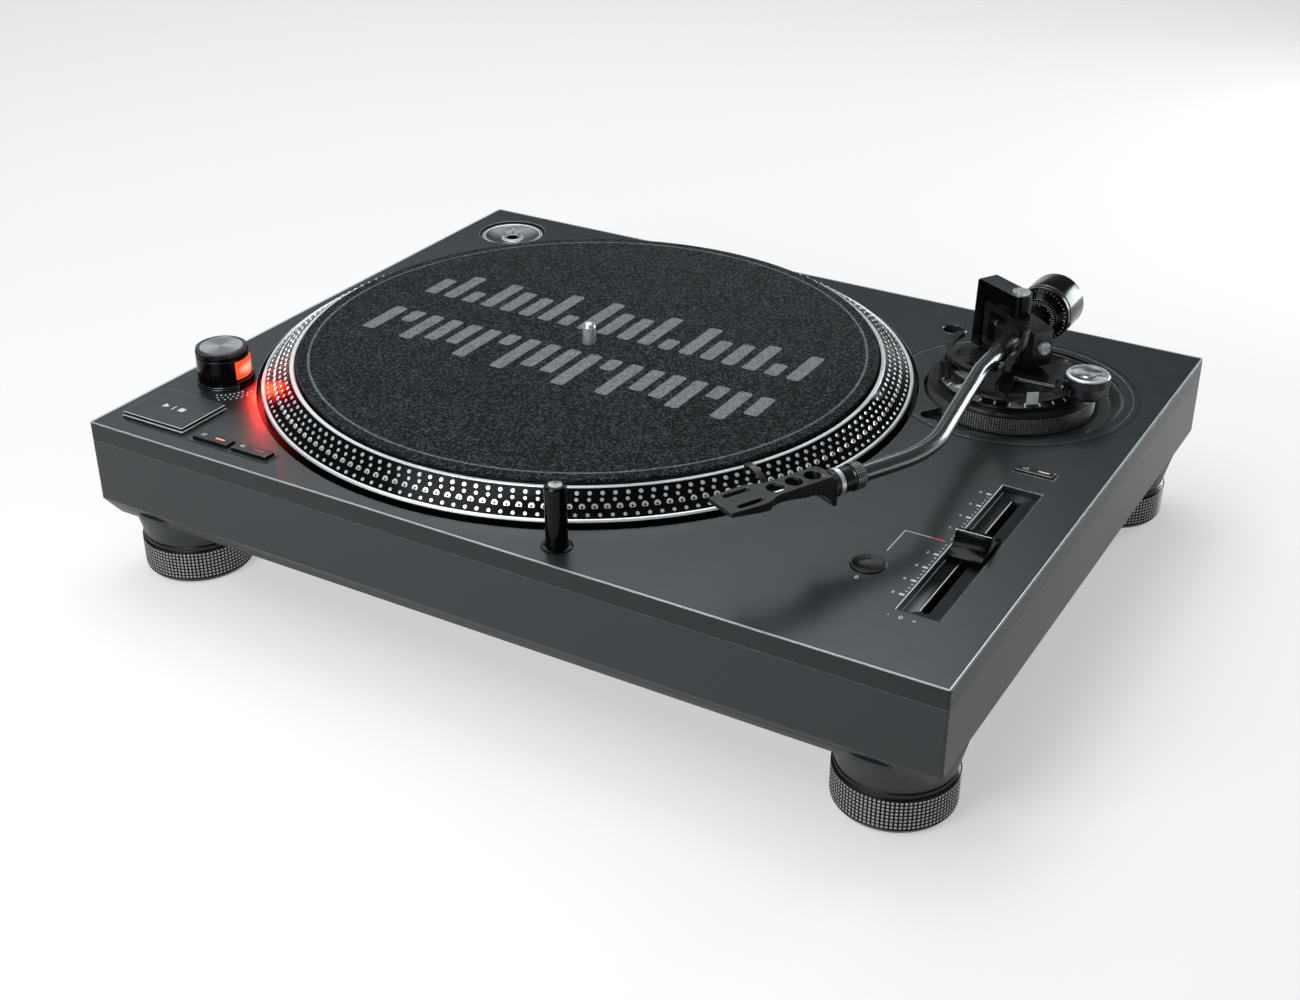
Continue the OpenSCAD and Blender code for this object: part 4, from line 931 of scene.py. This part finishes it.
class TURNTABLE_OT_pitch(Builder, bpy.types.Operator):
    """Finish the pitch fader and print its plain scale"""

    bl_idname = "turntable.pitch"
    bl_label = "Pitch Fader"

    def execute(self, context):
        low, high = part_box("pitch_channel")
        centre = (low + high) / 2
        white = printed(0.62, 0.63, 0.64)
        soften("pitch_channel", [dull_black(), coated_side()], 0.0, second=lambda face: face.normal.z > 0.98)

        knob = middle("pitch_knob")
        head = heights("pitch_knob")[1]
        outline = [(12.4, -2), (12.4, 0.7), (12.0, 1.2), (11.2, 1.3), (10.6, 1.0), (8.4, 1.7), (6.0, 3.0), (4.2, 4.8),
                   (3.0, 6.6), (2.3, head - 0.5), (1.8, head)]
        bm = bmesh.new()
        wide = 16
        sides = outline + [(-y, z) for y, z in reversed(outline)]
        face = bm.faces.new([bm.verts.new((-wide / 2 * MM, y * MM, z * MM)) for y, z in sides])
        drawn = bmesh.ops.extrude_face_region(bm, geom=[face])["geom"]
        bmesh.ops.translate(bm, verts=verts_in(drawn), vec=(wide * MM, 0, 0))
        ends = [edge for edge in bm.edges if abs(edge.verts[0].co.x - edge.verts[1].co.x) < 1e-6]
        round_edges(bm, ends, 0.25)
        bmesh.ops.translate(bm, verts=bm.verts[:], vec=(knob.x, knob.y, DECK_TOP))
        bar(bm, (3.4, 5.4, 13.4), about(knob, z=DECK_TOP - 8.7 * MM))
        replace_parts(add_piece("fader_cap", bm, "fader_knob", jet_black(), 25), "pitch_knob")

        length = (high.y - low.y) / MM
        sunk = DECK_TOP - 3 * MM
        # Pale lines along the channel's left edges, at the deck and on the sunk floor, and along the slot's left edge:
        # painted highlights where those edges catch the light.
        lines = [(low.x - 0.1 * MM, centre.y, DECK_TOP, 0.45, length),
                 (low.x + 1.0 * MM, centre.y, sunk, 0.5, length - 2),
                 (centre.x - 2.25 * MM, centre.y, sunk, 0.4, length - 16)]
        add_bars("channel_edge", lines, "deck", white)

        bm = bmesh.new()
        scale_x = low.x - 1.2 * MM
        number_step, ticks = 12.43, 16
        for i in range(-ticks, ticks + 1):
            y = centre.y + i * number_step / 4 * MM
            major = i % 4 == 0
            wide = 2.4 if major else 1.0
            if i:
                print_bar(bm, scale_x - wide / 2 * MM, y, DECK_TOP, wide, 1.3 if major else 0.5)
            if i and major:
                characters(bm, str(abs(i) // 2), 2.7, Matrix.Translation((scale_x - 5.2 * MM, y, DECK_TOP)))
        corner = Vector((scale_x - 21 * MM, centre.y, 0))
        print_bar(bm, corner.x + 6.2 * MM, corner.y, DECK_TOP, 12.4, 0.45)
        print_bar(bm, corner.x, corner.y - 10 * MM, DECK_TOP, 0.45, 20.2)
        characters(bm, "-    0    +", 3.6, Matrix.Translation((centre.x - 5 * MM, low.y - 5 * MM, DECK_TOP)))
        characters(bm, "0", 3.4, about(middle("reset_button"), z=DECK_TOP) @ shift(0, -12))
        add_piece("pitch_scale", bm, "deck", white)
        zero = [(corner.x + 15.6 * MM, corner.y, DECK_TOP, 6.4, 0.8)]
        add_bars("zero_mark", zero, "deck", printed(0.6, 0.06, 0.06))
        line = [(knob.x, knob.y - 0.6 * MM, top("pitch_knob"), 15.2, 0.6)]
        add_bars("fader_line", line, "fader_knob", bright_steel())
        return {"FINISHED"}


# ---------- the tonearm's base ----------


class TURNTABLE_OT_arm_base(Builder, bpy.types.Operator):
    """Finish the arm's panel, its height ring and what stands on its base"""

    bl_idname = "turntable.arm_base"
    bl_label = "Arm Base"

    def execute(self, context):
        # The panel's rounded edges take the pale edge finish, a painted highlight.
        soften("arm_panel", powder_coat(), 0.45, edge=worn_edge())
        panel = reach("arm_panel") / MM
        # A thin dark ring laid flat on the deck round the arm panel, a painted shadow for the groove at the panel's
        # edge.
        turned("panel_gap", [(panel + 0.1, 0), (panel + 1.0, 0), (panel + 1.0, PRINT_THICK),
                             (panel + 0.1, PRINT_THICK), (panel + 0.1, 0)], about(middle("arm_panel"), z=DECK_TOP),
               "deck", dull_black(), 160)
        soften("arm_base", satin_black(), 0.25, edge=black_edge())
        r = reach("height_ring") / MM
        inner = 34.5
        foot, head = heights("height_ring")
        ring = knurled("height_ring_knurled",
                       [(inner, foot), (r - 1.6, foot), (r - 1.6, foot + 0.8), (r - 0.5, foot + 1),
                        (r - 0.5, head - 1.4), (r - 1.0, head - 0.6), (r - 1.6, head), (inner, head),
                        (inner, foot)], 160,
                       (r, foot + 1.2, head - 1.5, 1.3, 0.35), about(PIVOT, z=DECK_TOP), "ring", 22)
        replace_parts(ring, "height_ring")

        bm = bmesh.new()
        on_slope = shift(35.45, 0, 8.3) @ turn(25, "Y")
        for i in range(30):
            bar(bm, (2.8 if i % 5 == 0 else 2.0, 0.7, 0.12), about(PIVOT, i * 12, DECK_TOP) @ on_slope)
        add_piece("height_marks", bm, "arm_base", printed(0.8, 0.8, 0.8))

        bm = bmesh.new()
        bar(bm, (0.6, 6, 8.6), about(PIVOT, -54, DECK_TOP) @ shift(inner, 0, 10.6))
        round_edges(bm, bm.edges[:], 0.15)
        add_piece("height_pointer", bm, "arm_base", printed(0.8, 0.8, 0.8))

        dial = middle("anti_skate_dial")
        r = reach("anti_skate_dial") / MM
        foot, head = heights("anti_skate_dial")
        bm = bmesh.new()
        lathe(bm, [(0, foot), (r - 1, foot), (r - 0.6, foot + 0.5), (r - 0.6, head - 5), (r - 0.5, head - 4.8),
                   (r - 0.5, head - 0.8), (r - 0.9, head - 0.2), (r - 1.6, head), (r - 2, head), (r - 2.2, head - 0.7),
                   (4.2, head - 0.75), (3.9, head - 0.1), (0, head - 0.05)], 120)
        ridges(bm, r, head - 4.8, head - 0.8, 84, 0.35)
        for face in bm.faces:
            centre = face.calc_center_median()
            if centre.z < (head - 5) * MM:
                face.material_index = 1
            elif centre.z > (head - 0.79) * MM:
                face.material_index = 3 if centre.xy.length > (r - 2.1) * MM else 2
        finishes = [dark_metal(), gloss_black(), turned_face(dial.x, dial.y, 0.5), polished()]
        piece = add_piece("anti_skate_knob", bm, "anti_skate", finishes, 25, about(dial, z=DECK_TOP))
        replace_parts(piece, "anti_skate_dial")
        bm = bmesh.new()
        bar(bm, (2 * r - 4.4, 2.4, 0.6), about(dial, 24, top("anti_skate_dial") - 0.35 * MM))
        add_piece("anti_skate_pointer", bm, "anti_skate", bright_steel())

        soften("arm_lock_knob", bright_steel(), 0.2)
        soften("cue_lever", satin_black(), 0.3, edge=black_edge())
        for node in ("arm_rest", "arm_rest_clip", "lift_bar"):
            soften(node, satin_black(), 0.2, edge=black_edge())
        return {"FINISHED"}


# ---------- the tonearm ----------


class TURNTABLE_OT_bearings(Builder, bpy.types.Operator):
    """Finish the bracket, the gimbal and their pivots"""

    bl_idname = "turntable.bearings"
    bl_label = "Arm Bearings"

    def execute(self, context):
        # The bracket's upward faces take the paler deck paint, a painted highlight from the lamps above; its other
        # faces stay jet black.
        soften("arm_bracket", [jet_black(), powder_coat()], 0.45, second=lambda face: face.normal.z > 0.8,
               edge=black_edge())
        soften("gimbal_ring", satin_black(), 0.4, edge=black_edge())
        soften("pivot_screws", bright_steel(), 0.2)
        soften("gimbal_pins", bright_steel(), 0.2)
        soften("arm_hub", satin_black(), 0.2)
        return {"FINISHED"}


TUBE_RADIUS = 4.0
TUBE_BEND = 60 * MM
TUBE_LEAVES_HUB = 27.1
TUBE_FIRST_BEND = 50
TUBE_SECOND_BEND = (12.1, -139.9, 0)
TUBE_MEETS_COLLAR = 13.6


class TURNTABLE_OT_arm(Builder, bpy.types.Operator):
    """Finish the S-shaped tube, its collar and the headshell"""

    bl_idname = "turntable.arm"
    bl_label = "Tube and Headshell"

    def execute(self, context):
        joint = JOINTS["collar_turn"]
        start = Vector(JOINTS["arm_pitch"]["pos_m"])
        shell = Vector(joint["pos_m"])
        second = start + Vector(TUBE_SECOND_BEND) * MM
        points = [start - Vector((0, TUBE_LEAVES_HUB, 0)) * MM, start - Vector((0, TUBE_FIRST_BEND, 0)) * MM,
                  second, shell - (shell - second).normalized() * TUBE_MEETS_COLLAR * MM]
        bm = bmesh.new()
        bent_tube(bm, TUBE_RADIUS, points, TUBE_BEND)
        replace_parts(add_piece("tube_swept", bm, "arm", arm_tube(), 50), "tonearm_tube")
        soften("headshell", satin_black(), 0.25, edge=black_edge())
        soften("finger_lift", satin_black(), 0.1)

        place = along(shell, joint["axis"])
        inner, r = 4.05, 6.2
        collar = knurled("collar_knurled",
                         [(inner, -16.4), (r - 0.6, -16.4), (r - 0.2, -15.9), (r - 0.2, -10.6), (r - 0.7, -10.2),
                          (r - 0.7, -9.4), (r - 0.4, -9.1), (r - 0.4, -3.3), (r - 0.7, -3.1), (inner, -3.1),
                          (inner, -16.4)], 64, (r, -15.9, -10.9, 1.0, 0.25), place, "collar", 25)
        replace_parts(collar, "locking_collar")
        turned("shell_ring", [(5.2, -4.6), (6.3, -4.5), (6.3, -2.4), (5.2, -2.3), (5.2, -4.6)], place, "shell",
               polished(), 64)
        return {"FINISHED"}


class TURNTABLE_OT_weight(Builder, bpy.types.Operator):
    """Finish the counterweight and mark its force dial"""

    bl_idname = "turntable.weight"
    bl_label = "Counterweight"

    def execute(self, context):
        soften("counterweight", jet_black(), 0.4, edge=black_edge())
        soften("pressure_dial", jet_black(), 0.2, edge=black_edge())
        joint = JOINTS["weight_turn"]
        place = along(Vector(joint["pos_m"]), joint["axis"])
        r = reach("counterweight") / MM
        lean = Matrix.Rotation(math.atan2(4.0, 5.0) - math.pi / 2, 4, "Y")
        long_mark, short_mark = (2.7, 33.0, 3.8, 7.4, 3.0), (2.2, 33.5, 2.4, 7.9, 2.0)
        bm = bmesh.new()
        for i in range(40):
            inward, z, tall, on_face, wide = short_mark if i % 5 else long_mark
            bar(bm, (0.14, 0.4, tall), place @ turn(i * 9) @ shift(r - inward, 0, z) @ lean)
            bar(bm, (wide, 0.34, 0.14), place @ turn(i * 9) @ shift(on_face, 0, 29.98))
        add_piece("force_marks", bm, "force_dial", printed(0.8, 0.8, 0.8))
        return {"FINISHED"}


# ---------- the feet ----------


class TURNTABLE_OT_feet(Builder, bpy.types.Operator):
    """Turn the four knurled feet with their rubber soles"""

    bl_idname = "turntable.feet"
    bl_label = "Feet"

    def execute(self, context):
        for node in ("foot_front_left", "foot_front_right", "foot_back_left", "foot_back_right"):
            place = about(middle(node))
            r = reach(node) / MM
            head, stud = 21.0, 3.0
            body = BODY_OF[node]
            drum = knurled(node + "_drum",
                           [(0, 0.9), (r - 3.4, 0.9), (r - 1.4, 0.9), (r - 0.2, 2.6), (r - 0.2, 3.1), (r - 0.6, 3.4),
                            (r - 0.6, head - 2.5), (r - 0.9, head - 2.2), (r - 0.9, head - 0.7), (r - 1.6, head),
                            (stud, head), (stud, head + 20), (0, head + 20)], 120,
                           (r, 3.5, head - 2.6, look().knurl_pitch / MM, 0.45), place, body, 22)
            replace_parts(drum, node)
            turned(node + "_sole", [(0, 0), (r - 5, 0), (r - 4.4, 0.4), (r - 4.2, 1.0), (0, 1.0)], place, body,
                   sole_rubber(), 96)
        return {"FINISHED"}


# ---------- the stage ----------


class TURNTABLE_OT_stage(Builder, bpy.types.Operator):
    """Set up the pale floor, the soft lights and the camera"""

    bl_idname = "turntable.stage"
    bl_label = "Stage"

    def execute(self, context):
        scene = context.scene
        scene.view_settings.view_transform = "Standard"
        self.floor(scene)
        self.world(scene)
        self.lamps(scene)
        self.camera(scene)
        return {"FINISHED"}

    def floor(self, scene):
        bm = bmesh.new()
        bmesh.ops.create_grid(bm, x_segments=1, y_segments=1, size=7.0)
        mesh = bpy.data.meshes.new("floor")
        bm.to_mesh(mesh)
        bm.free()
        plane = bpy.data.objects.new("floor", mesh)
        plane.location.z = -0.2 * MM
        scene.collection.objects.link(plane)
        mesh.materials.append(pale_floor())

    def world(self, scene):
        """A dim dome, which the camera sees as pale as the floor. Gloss sees it pale near the horizon."""
        world = bpy.data.worlds.new("studio")
        world.use_nodes = True
        sky = Nodes(world.node_tree)
        dome = sky.tree.nodes["Background"]
        dome.inputs["Color"].default_value = (0.88, 0.95, 1.0, 1)
        dome.inputs["Strength"].default_value = look().dome
        pale = sky.node("Background", {"Color": (BACKGROUND, BACKGROUND, BACKGROUND, 1)})
        up = sky.node("SeparateXYZ", {0: sky.node("TexCoord").outputs["Generated"]}).outputs["Z"]
        seen = sky.seen(sky.spread(up, 0.0, 0.14, 1.0, 0.0))
        mix = sky.node("MixShader", {0: seen, 1: dome.outputs[0], 2: pale.outputs[0]})
        sky.tree.links.new(mix.outputs[0], sky.tree.nodes["World Output"].inputs[0])
        scene.world = world

    def lamps(self, scene):
        """Soft lights over, behind, left of and before the deck, a strip on its right and a low fill."""
        power = look().key_power
        for name, place, aim, size, share in (
            ("top_light", (-0.3, 0.25, 1.6), (-0.1, 0.05, 0.08), (1.3, 0.9), 0.8),
            ("back_light", (-1.05, 1.25, 1.66), (-0.05, -0.15, 0.08), (1.9, 0.6), 0.56),
            ("left_light", (-1.5, 1.2, 1.1), (-0.15, -0.05, 0.08), (0.9, 0.5), 0.05),
            ("front_light", (-0.4, -0.8, 1.5), (-0.12, -0.1, 0.08), (1.3, 0.5), 0.32),
            ("right_strip", (0.58, 1.05, 0.22), (0.22, 0.17, 0.05), (0.4, 0.4), 0.36),
            ("front_fill", (-0.1, -0.8, 0.42), (-0.06, -0.177, 0.04), (0.45, 0.2), 0.2),
        ):
            lamp = bpy.data.lights.new(name, "AREA")
            lamp.shape = "RECTANGLE"
            lamp.size, lamp.size_y = size
            lamp.energy = power * share
            lamp.color = (0.9, 0.97, 1.0)
            holder = bpy.data.objects.new(name, lamp)
            holder.location = place
            holder.visible_camera = False
            holder.rotation_euler = (Vector(aim) - Vector(place)).to_track_quat("-Z", "Y").to_euler()
            scene.collection.objects.link(holder)

    def camera(self, scene):
        heading = math.radians(29.834)
        fall = math.radians(29.242)
        roll = math.radians(0.2529)
        forward = Vector((-math.sin(heading) * math.cos(fall), math.cos(heading) * math.cos(fall), -math.sin(fall)))
        data = bpy.data.cameras.new("camera")
        data.lens = 49.5
        data.sensor_width = 36.0
        data.shift_x = -0.01445
        data.shift_y = 0.00313
        data.clip_start = 0.01
        data.clip_end = 50.0
        camera = bpy.data.objects.new("camera", data)
        camera.location = (0.411498, -0.715974, DECK_TOP + 0.394931)
        facing = forward.to_track_quat("-Z", "Y").to_matrix() @ Matrix.Rotation(roll, 3, "Z")
        camera.rotation_euler = facing.to_euler()
        scene.collection.objects.link(camera)
        scene.camera = camera


# ---------- the sidebar ----------

OPERATORS = (
    TURNTABLE_OT_stage,
    TURNTABLE_OT_deck,
    TURNTABLE_OT_platter,
    TURNTABLE_OT_mat,
    TURNTABLE_OT_buttons,
    TURNTABLE_OT_tower,
    TURNTABLE_OT_lamp_and_sockets,
    TURNTABLE_OT_pitch,
    TURNTABLE_OT_arm_base,
    TURNTABLE_OT_bearings,
    TURNTABLE_OT_arm,
    TURNTABLE_OT_weight,
    TURNTABLE_OT_feet,
)


class TURNTABLE_PT_panel(bpy.types.Panel):
    """The sidebar tab that lists the turntable's colours and builders"""

    bl_label = "Turntable"
    bl_space_type = "VIEW_3D"
    bl_region_type = "UI"
    bl_category = "Turntable"

    def draw(self, context):
        for name in TurntableLook.__annotations__:
            self.layout.prop(context.scene.turntable, name)
        for operator in OPERATORS:
            self.layout.operator(operator.bl_idname)


def register():
    for item in (TurntableLook, *OPERATORS, TURNTABLE_PT_panel):
        bpy.utils.register_class(item)
    bpy.types.Scene.turntable = PointerProperty(type=TurntableLook)


def unregister():
    del bpy.types.Scene.turntable
    for item in (TURNTABLE_PT_panel, *reversed(OPERATORS), TurntableLook):
        bpy.utils.unregister_class(item)


def main():
    register()
    for operator in OPERATORS:
        group, name = operator.bl_idname.split(".")
        getattr(getattr(bpy.ops, group), name)()


if __name__ == "__main__":
    main()
